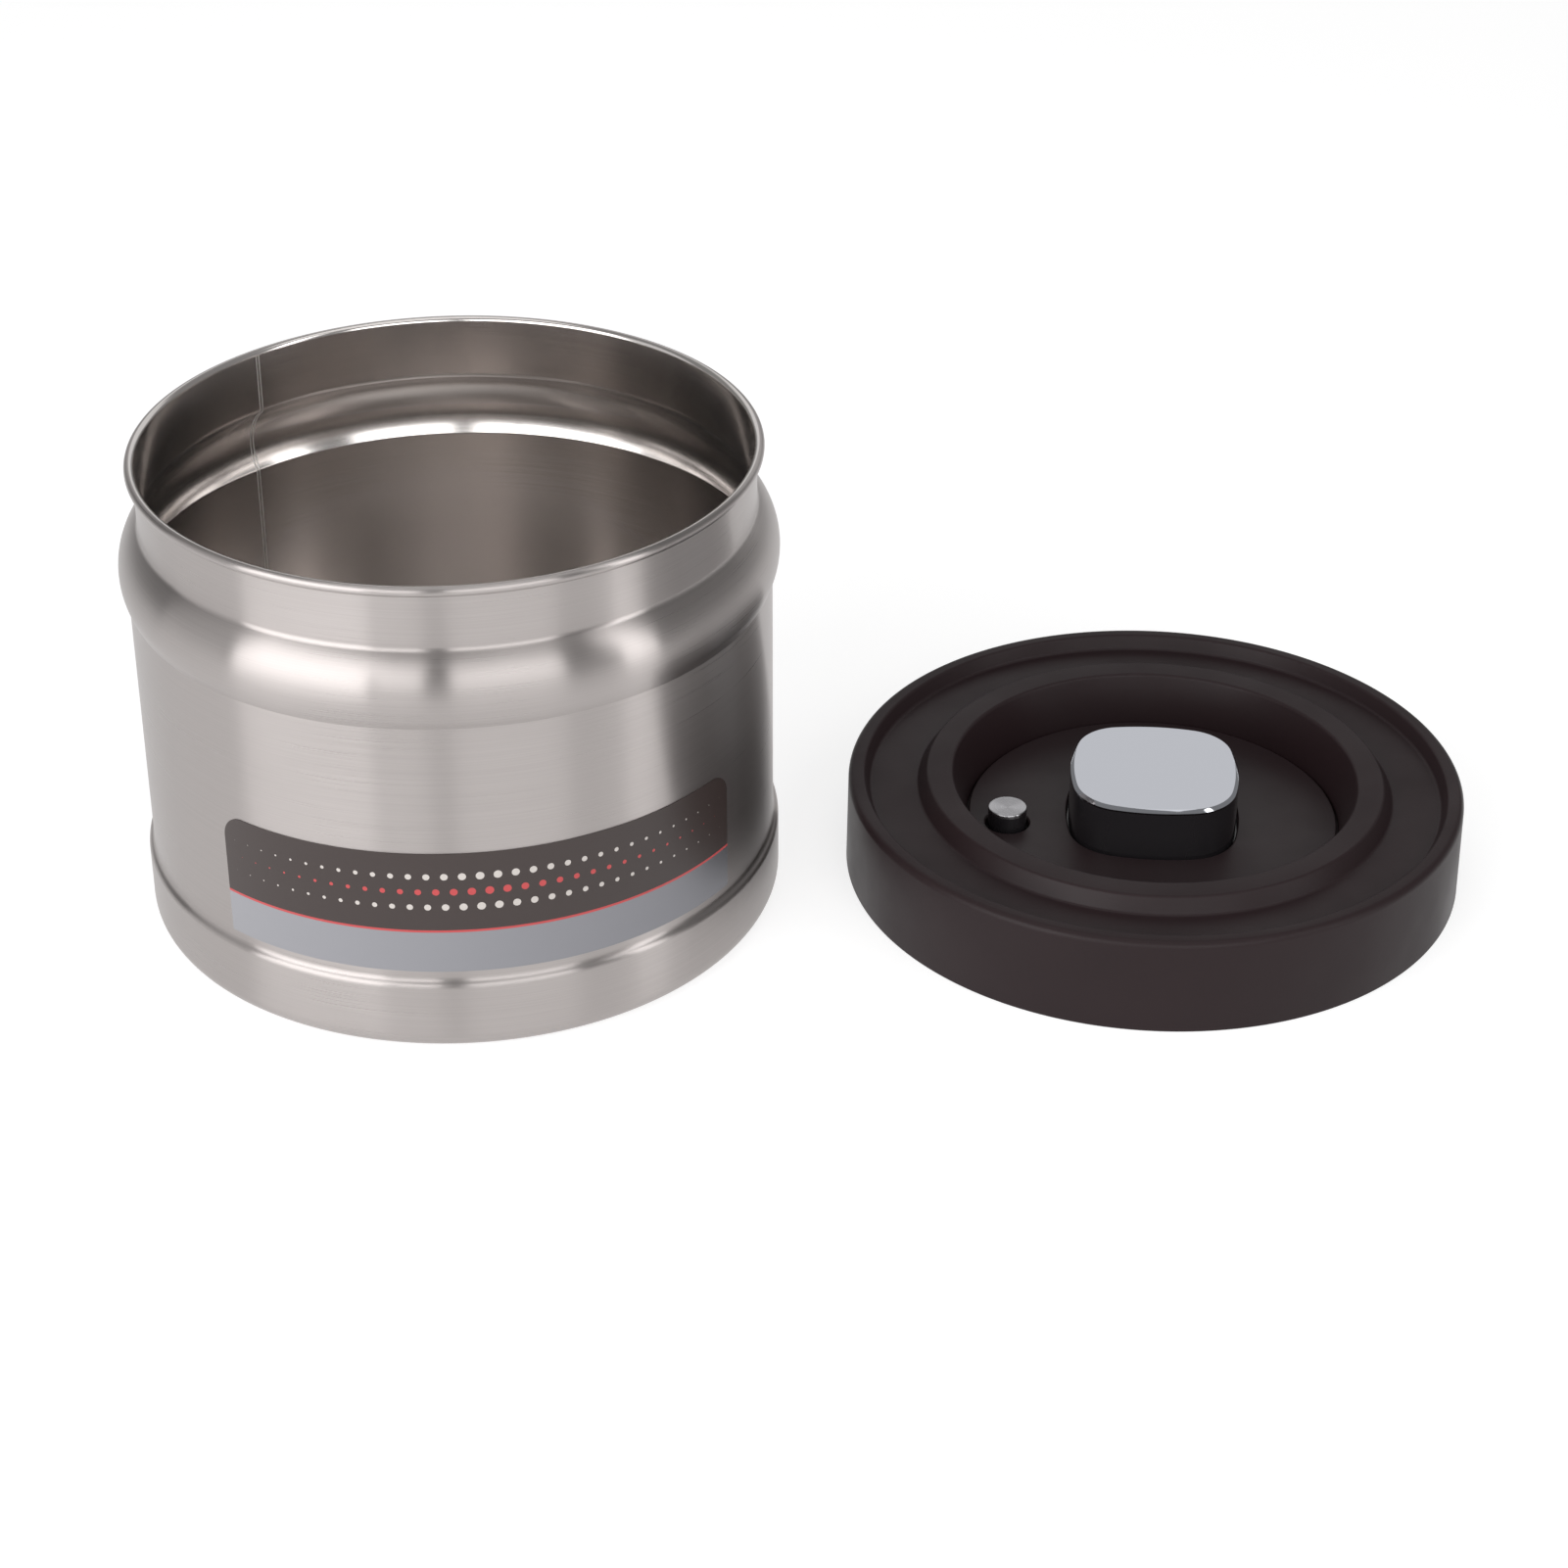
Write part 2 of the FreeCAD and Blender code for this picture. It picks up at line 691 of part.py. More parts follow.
def lid_plug():
    """The dish that fills the mouth: a grooved wall, a floor, and a raised seat for the release valve."""
    body = new_body("lid_plug")
    groove_top = size.groove_bottom + size.groove_height
    revolve(body, [
        Corner(ZERO, size.plug_floor),
        Corner(plug_radius, size.plug_floor, size.plug_rounding),
        Corner(plug_radius, size.groove_bottom),
        Corner(groove_radius, size.groove_bottom),
        Corner(groove_radius, groove_top),
        Corner(plug_radius, groove_top),
        Corner(plug_radius, channel_under),
        Corner(plug_inner, channel_under),
        Corner(plug_inner, floor_top, size.plug_rounding),
        Corner(ZERO, floor_top),
    ], "Dish")
    sketch = new_sketch(body, "SeatCircle", "XY_Plane", size.plug_floor + size.plug_floor_wall / 2)
    draw_circle(sketch, valve_x, valve_y, size.seat_radius)
    raise_solid(body, "Seat", sketch, seat_height - size.plug_floor - size.plug_floor_wall / 2)
    below = size.plug_floor - size.overrun
    well_radius = size.seat_radius - size.seat_wall
    bore(body, "SeatWell", valve_x, valve_y, well_radius, below, seat_under)
    bore(body, "Vent", valve_x, valve_y, size.vent_radius, below, seat_height + size.overrun)
    bore(body, "Inlet", ZERO, ZERO, size.piston_inlet, below, floor_top + size.overrun)
    for name, reach, count in (
        ("Cover", boss_reach, BOSS_COUNT),
        ("Piston", piston_screw_reach, PISTON_SCREW_COUNT),
    ):
        hole_radius = size.screw_radius + size.screw_clearance
        hole = bore(body, f"{name}Hole", reach, ZERO, hole_radius, below, floor_top + size.overrun)
        around(body, [hole], count)
        sketch = new_sketch(body, f"{name}SinkOutline", "XZ_Plane")
        draw(sketch, [
            Corner(reach, below),
            Corner(reach + size.screw_head_radius + size.screw_clearance, below),
            Corner(reach + size.screw_head_radius + size.screw_clearance, screw_head_under),
            Corner(reach + hole_radius, screw_head_top),
            Corner(reach, screw_head_top),
        ])
        sink = body.newObject("PartDesign::Groove", f"{name}Sink")
        sink.Profile = sketch
        foot = FreeCAD.Vector(reach.value, 0, 0)
        head = FreeCAD.Vector(reach.value, screw_head_top.value, 0)
        axis = sketch.addGeometry(Part.LineSegment(foot, head), True)
        sketch.addConstraint(Sketcher.Constraint("Vertical", axis))
        constraints = []
        pinned(constraints, Spot(axis, 1), Corner(reach, ZERO))
        length = Sketcher.Constraint("DistanceY", axis, 1, axis, 2, screw_head_top.value)
        constraints.append((length, screw_head_top))
        bind(sketch, constraints)
        sink.ReferenceAxis = (sketch, ["Axis0"])
        sink.Angle = FULL_TURN
        pattern = body.newObject("PartDesign::PolarPattern", f"{name}SinkPattern")
        pattern.Originals = [sink]
        pattern.Axis = (sketch, ["V_Axis"])
        pattern.Angle = FULL_TURN
        pattern.Occurrences = count
        body.Tip = pattern
    place_on_lid(body)
    return body


def lid_gasket():
    """A soft ring in the plug's groove, with two lips that bend against the neck."""
    gap = size.gasket_clearance
    inner = groove_radius + gap
    low = size.groove_bottom + gap
    high = size.groove_bottom + size.groove_height - gap
    tip = plug_radius + size.gasket_lip_reach
    lip = size.gasket_lip_wall
    drop = size.gasket_lip_drop
    middle = (low + high) / 2
    body = new_body("lid_gasket")
    revolve(body, [
        Corner(inner, low),
        Corner(plug_radius, low),
        Corner(tip, low + drop),
        Corner(tip, low + drop + lip / 2),
        Corner(plug_radius, low + lip),
        Corner(plug_radius, middle),
        Corner(tip, middle + drop),
        Corner(tip, middle + drop + lip / 2),
        Corner(plug_radius, middle + lip),
        Corner(plug_radius, high),
        Corner(inner, high),
    ], "Ring")
    place_on_lid(body)
    return body


def lid_screws():
    """Countersunk screws: four hold the cover to the plug, three hold the piston."""
    screws = []
    for name, reach, count in (
        ("CoverScrew", boss_reach, BOSS_COUNT),
        ("PistonScrew", piston_screw_reach, PISTON_SCREW_COUNT),
    ):
        for index in range(count):
            screw = new_body(f"{name}{index}")
            revolve(screw, [
                Corner(ZERO, screw_head_under),
                Corner(size.screw_head_radius, screw_head_under),
                Corner(size.screw_radius, screw_head_top),
                Corner(size.screw_radius, screw_end - size.screw_tip),
                Corner(ZERO, screw_end),
            ])
            angle = size.lid_turn + FULL_TURN / count * index
            x = lid_x + reach * angle.cosine()
            y = size.lid_y + reach * angle.sine()
            place(screw, x, y, angle)
            screws.append(screw)
    group = doc.addObject("Part::Compound", "lid_screws")
    group.Label = "lid_screws"
    group.Links = screws
    return group


def pump_piston():
    """A fixed piston on a broad column, with an inlet up its middle and a groove for its lip seal."""
    body = new_body("pump_piston")
    seal_top = seal_bottom + size.seal_height
    revolve(body, [
        Corner(ZERO, floor_top),
        Corner(piston_column, floor_top),
        Corner(piston_column, piston_under),
        Corner(piston_radius, piston_under),
        Corner(piston_radius, seal_bottom),
        Corner(seal_inner, seal_bottom),
        Corner(seal_inner, seal_top),
        Corner(piston_radius, seal_top),
        Corner(piston_radius, piston_top),
        Corner(ZERO, piston_top),
    ], "Column")
    bottom = floor_top - size.overrun
    bore(body, "InletChamber", ZERO, ZERO, inlet_radius, bottom, piston_under)
    port = bore(body, "Port", intake_port_reach, ZERO, size.intake_port_radius, bottom,
                piston_top + size.overrun)
    around(body, [port], INTAKE_PORT_COUNT)
    bore(body, "StudHole", ZERO, ZERO, size.stud_radius, bottom, piston_top + size.overrun)
    hole_radius = size.screw_radius + size.screw_clearance
    hole = bore(body, "Pilot", piston_screw_reach, ZERO, hole_radius, bottom, screw_hole_top)
    around(body, [hole], PISTON_SCREW_COUNT)
    place_on_lid(body)
    return body


def piston_seal():
    """A lip seal: air pushed out by the button slips past its edge, and none comes back."""
    low = seal_bottom + size.seal_gap
    high = seal_bottom + size.seal_height - size.seal_gap
    edge = button_bore - size.seal_gap
    body = new_body("piston_seal")
    revolve(body, [
        Corner(seal_inner + size.seal_gap, low),
        Corner(piston_radius, low),
        Corner(edge, low + size.seal_lip),
        Corner(edge, high),
        Corner(seal_inner + size.seal_gap, high),
    ], "Lip")
    place_on_lid(body)
    return body


def intake_valve():
    """A flap that covers the piston's ports and lifts while the button rises."""
    body = new_body("intake_valve")
    flap_top = piston_top + size.intake_wall
    revolve(body, tube_outline(size.stud_radius, intake_radius, piston_top, flap_top), "Flap")
    place_on_lid(body)
    return body


def valve_stud():
    """The stud that holds the middle of the flap down."""
    flap_top = piston_top + size.intake_wall
    head_top = flap_top + size.stud_head_height
    body = new_body("valve_stud")
    revolve(body, [
        Corner(ZERO, piston_under),
        Corner(size.stud_radius, piston_under),
        Corner(size.stud_radius, flap_top),
        Corner(size.stud_head_radius, flap_top),
        Corner(size.stud_head_radius, head_top),
        Corner(ZERO, head_top),
    ], "Stud")
    place_on_lid(body)
    return body


def coil(label, radius, wire, turns, bottom, top):
    """A spring from one height to another: a round wire along quarter turns of a helix."""
    low = bottom.value + wire.value / 2 + size.spring_clearance.value
    high = top.value - wire.value / 2 - size.spring_clearance.value
    steps = turns * ARCS_PER_TURN

    def on_helix(step):
        angle = math.radians(FULL_TURN) * step / ARCS_PER_TURN
        height = low + (high - low) * step / steps
        return FreeCAD.Vector(radius.value * math.cos(angle), radius.value * math.sin(angle), height)

    arcs = [Part.Arc(on_helix(i), on_helix(i + 0.5), on_helix(i + 1)).toShape() for i in range(steps)]
    path = Part.Wire(arcs)
    start = on_helix(0)
    along = arcs[0].tangentAt(arcs[0].FirstParameter)
    section = Part.Wire(Part.Circle(start, along, wire.value / 2).toShape())
    spring = doc.addObject("Part::Feature", label)
    spring.Label = label
    spring.Shape = path.makePipeShell([section], True, False)
    gap = (high - low) / turns - wire.value
    print(f"{label}: {turns} turns, {gap:.2f} mm between them")
    return spring


def pump_spring():
    """Pushes the button up off the piston."""
    wire = size.pump_spring_wire
    spring = coil("pump_spring", pump_spring_radius, wire, PUMP_SPRING_TURNS, piston_top, button_ceiling)
    place_on_lid(spring)
    return spring


def button_body():
    """The button: a deep cap of soft square plan, bored to slide over the piston, flanged under the deck."""
    body = new_body("button_body")
    roof = button_top - size.button_cap_wall
    sketch = new_sketch(body, "Plan", "XY_Plane", button_bottom)
    draw(sketch, grown_squircle(ZERO))
    raise_solid(body, "Block", sketch, roof - button_bottom)
    sketch = new_sketch(body, "FlangePlan", "XY_Plane", button_bottom)
    draw(sketch, grown_squircle(size.flange_width))
    raise_solid(body, "Flange", sketch, size.flange_wall)
    bore(body, "Cylinder", ZERO, ZERO, button_bore, button_bottom - size.overrun, button_ceiling)
    place_on_lid(body)
    return body


def button_cap():
    """The plated top of the button, with a bevelled edge."""
    body = new_body("button_cap")
    bottom = button_top - size.button_cap_wall
    sketch = new_sketch(body, "Plan", "XY_Plane", bottom)
    draw(sketch, grown_squircle(ZERO))
    plate = raise_solid(body, "Plate", sketch, size.button_cap_wall)
    doc.recompute()
    edges = [f"Edge{i}" for i, edge in enumerate(plate.Shape.Edges, start=1)
             if edge.BoundBox.ZMin > (button_top - size.button_cap_wall / 2).value]
    bevel = body.newObject("PartDesign::Chamfer", "Bevel")
    bevel.Base = (plate, edges)
    bevel.setExpression("Size", size.button_cap_bevel.text)
    place_on_lid(body)
    return body


def release_pin():
    """The release valve's pin: head, collar under the deck, a well for its spring, and a shank."""
    body = new_body("release_pin")
    head_top = valve_top - size.valve_cap_wall
    shank_end = seat_under - size.valve_seal_wall - size.valve_foot_wall
    revolve(body, [
        Corner(ZERO, shank_end),
        Corner(size.valve_shank_radius, shank_end),
        Corner(size.valve_shank_radius, valve_well_top),
        Corner(size.valve_well_radius, valve_well_top),
        Corner(size.valve_well_radius, collar_under),
        Corner(size.valve_collar_radius, collar_under),
        Corner(size.valve_collar_radius, collar_top),
        Corner(size.valve_head_radius, collar_top),
        Corner(size.valve_head_radius, head_top),
        Corner(ZERO, head_top),
    ], "Pin")
    place_at_valve(body)
    return body


def release_cap():
    """The spun metal disc on the pin, slightly dished."""
    body = new_body("release_cap")
    bottom = valve_top - size.valve_cap_wall
    revolve(body, [
        Corner(ZERO, bottom),
        Corner(size.valve_head_radius, bottom),
        Corner(size.valve_head_radius, valve_top, size.valve_cap_dish),
        Corner(size.valve_head_radius - size.valve_cap_wall, valve_top),
        Corner(ZERO, valve_top - size.valve_cap_dish),
    ], "Disc")
    place_at_valve(body)
    return body


def release_seal():
    """The soft disc on the shank that closes the vent from below."""
    body = new_body("release_seal")
    top = seat_under - size.spring_clearance
    bottom = seat_under - size.valve_seal_wall
    revolve(body, tube_outline(size.valve_shank_radius, size.valve_seal_radius, bottom, top), "Ring")
    place_at_valve(body)
    return body


def release_foot():
    """The ring pressed on the shank's end, which carries the seal."""
    body = new_body("release_foot")
    top = seat_under - size.valve_seal_wall
    bottom = top - size.valve_foot_wall
    revolve(body, tube_outline(size.valve_shank_radius, size.valve_foot_radius, bottom, top), "Ring")
    place_at_valve(body)
    return body


def release_spring():
    """Holds the pin up and its seal shut."""
    wire = size.valve_spring_wire
    radius = size.valve_spring_radius
    spring = coil("release_spring", radius, wire, VALVE_SPRING_TURNS, seat_height, valve_well_top)
    place_at_valve(spring)
    return spring


pieces = [
    canister_wall(), canister_base(), label_band(),
    lid_cover(), pump_deck(), lid_plug(), lid_gasket(), lid_screws(),
    pump_piston(), piston_seal(), intake_valve(), valve_stud(), pump_spring(),
    button_body(), button_cap(),
    release_pin(), release_cap(), release_seal(), release_foot(), release_spring(),
]
doc.recompute()

for item in doc.Objects:
    if "Invalid" in item.State or "Error" in item.State:
        raise RuntimeError(f"{item.Label} failed: {item.State}")
for piece in pieces:
    if piece.Shape.isNull() or not piece.Shape.isValid():
        raise RuntimeError(f"{piece.Label} has no valid shape")

os.makedirs("parts", exist_ok=True)
for piece in pieces:
    piece.Shape.exportStep(f"parts/{piece.Label}.step")
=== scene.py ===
"""Looks of a vacuum seal canister: a brushed steel canister, and its pump lid lying beside it."""

from __future__ import annotations

import json
import logging
import math
from dataclasses import dataclass, field, replace
from enum import Enum
from typing import Any, Callable, Iterable, Sequence

import bmesh
import bpy
from mathutils import Matrix, Vector

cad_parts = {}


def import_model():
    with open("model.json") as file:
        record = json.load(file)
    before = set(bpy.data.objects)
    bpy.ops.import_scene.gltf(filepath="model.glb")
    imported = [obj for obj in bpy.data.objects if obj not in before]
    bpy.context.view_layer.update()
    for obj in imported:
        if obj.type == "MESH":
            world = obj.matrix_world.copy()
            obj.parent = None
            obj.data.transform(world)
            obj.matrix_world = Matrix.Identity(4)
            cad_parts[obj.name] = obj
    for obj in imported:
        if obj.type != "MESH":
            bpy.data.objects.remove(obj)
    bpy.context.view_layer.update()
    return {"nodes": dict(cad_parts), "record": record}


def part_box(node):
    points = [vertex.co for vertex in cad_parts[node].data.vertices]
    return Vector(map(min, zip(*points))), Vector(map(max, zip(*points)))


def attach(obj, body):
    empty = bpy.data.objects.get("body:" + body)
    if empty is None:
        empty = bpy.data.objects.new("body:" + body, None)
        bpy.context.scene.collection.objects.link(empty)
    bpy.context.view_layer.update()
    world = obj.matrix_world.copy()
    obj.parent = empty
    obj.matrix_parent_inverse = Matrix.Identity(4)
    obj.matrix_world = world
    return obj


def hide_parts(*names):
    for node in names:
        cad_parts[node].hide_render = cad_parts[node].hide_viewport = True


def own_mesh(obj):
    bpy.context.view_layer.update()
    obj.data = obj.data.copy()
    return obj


LOG = logging.getLogger("canister")
MM = 0.001
FULL_TURN = 2 * math.pi
UV_NAME = "wrap"
# A point nearer to the axis than this lies on it.
ON_AXIS = 1e-9
# A face whose normal rises by more than this faces up.
FACING_UP = 0.7
# An edge that bends by more degrees than this stays sharp.
SHARP = 35.0
# Most values of a noise texture lie between these two.
NOISE_LOW = 0.3
NOISE_HIGH = 0.7
# How many steps go round a large, a middling and a small turned piece, and round a small hole.
LARGE_STEPS = 320
MIDDLE_STEPS = 192
SMALL_STEPS = 96
HOLE_STEPS = 64
# How many steps a turn of a spring has, and how many go round its wire and round a bead of weld.
COIL_STEPS = 48
WIRE_STEPS = 16
BEAD_STEPS = 8

Point = tuple[float, float]
Colour = tuple[float, float, float, float]


class Bow(Enum):
    """Which way an arc of the sheet bows, seen from outside the canister."""

    OUT = -1
    HOLLOW = 1


class Scratch(Enum):
    """How far the highlight of a scratched metal is turned from the way that it was worked."""

    AROUND = 0.25
    ALONG = 0.0


def linear(colour: str) -> Colour:
    """Turn an sRGB hex colour into linear values.

    Args:
        colour: six hex digits after a hash sign.

    Returns:
        Linear red, green, blue and an alpha of one.
    """
    parts = [int(colour[i : i + 2], 16) / 255 for i in (1, 3, 5)]
    red, green, blue = [c / 12.92 if c <= 0.04045 else ((c + 0.055) / 1.055) ** 2.4 for c in parts]
    return red, green, blue, 1.0


def add_node(
    tree: bpy.types.NodeTree,
    kind: str,
    inputs: dict[str | int, Any] | None = None,
    **settings: Any,
) -> bpy.types.Node:
    """Add a node with its settings, and set or link its inputs.

    Args:
        tree: the node tree that gets the node.
        kind: the node's type name.
        inputs: values or output sockets for the node's inputs, by name or place.
        settings: the node's own properties.

    Returns:
        The new node.
    """
    node = tree.nodes.new(kind)
    for name, value in settings.items():
        setattr(node, name, value)
    for name, value in (inputs or {}).items():
        if isinstance(value, bpy.types.NodeSocket):
            tree.links.new(value, node.inputs[name])
        else:
            node.inputs[name].default_value = value
    return node


# Finishes


@dataclass(frozen=True)
class Finish:
    """A surface finish, which makes one material."""

    name: str

    def start(self) -> tuple[bpy.types.Material, bpy.types.NodeTree, bpy.types.Node]:
        """Make the empty material.

        Returns:
            The material, its node tree and its main shader.
        """
        material = bpy.data.materials.new(self.name)
        material.use_nodes = True
        return material, material.node_tree, material.node_tree.nodes["Principled BSDF"]


@dataclass(frozen=True)
class WorkedMetal(Finish):
    """Bare metal with fine parallel scratches, which draw its highlights out across them.

    The scratches follow the piece's own map: across is the map's second direction.
    """

    light: str
    dark: str
    smoothest: float
    roughest: float
    line_width: float
    line_length: float
    anisotropy: float
    depth: float
    scratch: Scratch = Scratch.AROUND
    cloud: float = 30 * MM
    cloud_share: float = 0.3
    bump: float = 0.35

    def build(self) -> bpy.types.Material:
        """Make the material.

        Returns:
            The material.
        """
        material, tree, shader = self.start()
        spot = add_node(tree, "ShaderNodeTexCoord")
        stretch = add_node(
            tree,
            "ShaderNodeMapping",
            {"Vector": spot.outputs["UV"], "Scale": (1 / self.line_length, 1 / self.line_width, 1)},
        )
        lines = add_node(
            tree,
            "ShaderNodeTexNoise",
            {"Vector": stretch.outputs[0], "Scale": 1.0, "Detail": 4.0, "Roughness": 0.6},
        )
        cloud = add_node(
            tree,
            "ShaderNodeTexNoise",
            {"Vector": spot.outputs["Object"], "Scale": 1 / self.cloud, "Detail": 2.0},
        )
        both = add_node(
            tree,
            "ShaderNodeMix",
            {"Factor": self.cloud_share, "A": lines.outputs["Fac"], "B": cloud.outputs["Fac"]},
            data_type="FLOAT",
        )
        spread = {"Value": both.outputs[0], "From Min": NOISE_LOW, "From Max": NOISE_HIGH}
        tone = add_node(tree, "ShaderNodeMapRange", spread)
        colour = add_node(
            tree,
            "ShaderNodeMix",
            {"Factor": tone.outputs[0], "A": linear(self.dark), "B": linear(self.light)},
            data_type="RGBA",
        )
        rough = add_node(
            tree, "ShaderNodeMapRange", spread | {"To Min": self.smoothest, "To Max": self.roughest}
        )
        bump = add_node(
            tree,
            "ShaderNodeBump",
            {"Height": lines.outputs["Fac"], "Strength": self.bump, "Distance": self.depth},
        )
        tangent = add_node(tree, "ShaderNodeTangent", direction_type="UV_MAP", uv_map=UV_NAME)
        tree.links.new(colour.outputs[2], shader.inputs["Base Color"])
        tree.links.new(rough.outputs[0], shader.inputs["Roughness"])
        tree.links.new(bump.outputs[0], shader.inputs["Normal"])
        tree.links.new(tangent.outputs[0], shader.inputs["Tangent"])
        shader.inputs["Metallic"].default_value = 1.0
        shader.inputs["Anisotropic"].default_value = self.anisotropy
        shader.inputs["Anisotropic Rotation"].default_value = self.scratch.value
        return material


@dataclass(frozen=True)
class MouldedPlastic(Finish):
    """Moulded plastic: an even colour with faint clouding, and the grain of the mould in its surface."""

    colour: str
    cloud_colour: str
    roughness: float
    grain: float
    grain_depth: float
    specular: float = 0.5
    roughness_swing: float = 0.06
    cloud: float = 22 * MM
    bump: float = 0.4

    def build(self) -> bpy.types.Material:
        """Make the material.

        Returns:
            The material.
        """
        material, tree, shader = self.start()
        spot = add_node(tree, "ShaderNodeTexCoord")
        grain = add_node(
            tree,
            "ShaderNodeTexNoise",
            {"Vector": spot.outputs["Object"], "Scale": 1 / self.grain, "Detail": 3.0},
        )
        cloud = add_node(
            tree,
            "ShaderNodeTexNoise",
            {"Vector": spot.outputs["Object"], "Scale": 1 / self.cloud, "Detail": 3.0},
        )
        colour = add_node(
            tree,
            "ShaderNodeMix",
            {"Factor": cloud.outputs["Fac"], "A": linear(self.colour), "B": linear(self.cloud_colour)},
            data_type="RGBA",
        )
        rough = add_node(
            tree,
            "ShaderNodeMapRange",
            {
                "Value": cloud.outputs["Fac"],
                "From Min": NOISE_LOW,
                "From Max": NOISE_HIGH,
                "To Min": self.roughness - self.roughness_swing,
                "To Max": self.roughness + self.roughness_swing,
            },
        )
        bump = add_node(
            tree,
            "ShaderNodeBump",
            {"Height": grain.outputs["Fac"], "Strength": self.bump, "Distance": self.grain_depth},
        )
        tree.links.new(colour.outputs[2], shader.inputs["Base Color"])
        tree.links.new(rough.outputs[0], shader.inputs["Roughness"])
        tree.links.new(bump.outputs[0], shader.inputs["Normal"])
        shader.inputs["Specular IOR Level"].default_value = self.specular
        return material


@dataclass(frozen=True)
class ChromePlate(Finish):
    """Chrome plating on plastic: a mirror with the faint ripple and haze of the moulding under it."""

    colour: str
    roughness: float
    ripple_depth: float
    ripple: float = 14 * MM
    haze: float = 0.4
    bump: float = 0.2

    def build(self) -> bpy.types.Material:
        """Make the material.

        Returns:
            The material.
        """
        material, tree, shader = self.start()
        spot = add_node(tree, "ShaderNodeTexCoord")
        wave = add_node(
            tree,
            "ShaderNodeTexNoise",
            {"Vector": spot.outputs["Object"], "Scale": 1 / self.ripple, "Detail": 1.0},
        )
        haze = add_node(
            tree,
            "ShaderNodeMapRange",
            {
                "Value": wave.outputs["Fac"],
                "To Min": self.roughness * (1 - self.haze),
                "To Max": self.roughness * (1 + self.haze),
            },
        )
        bump = add_node(
            tree,
            "ShaderNodeBump",
            {"Height": wave.outputs["Fac"], "Strength": self.bump, "Distance": self.ripple_depth},
        )
        tree.links.new(haze.outputs[0], shader.inputs["Roughness"])
        tree.links.new(bump.outputs[0], shader.inputs["Normal"])
        shader.inputs["Base Color"].default_value = linear(self.colour)
        shader.inputs["Metallic"].default_value = 1.0
        return material


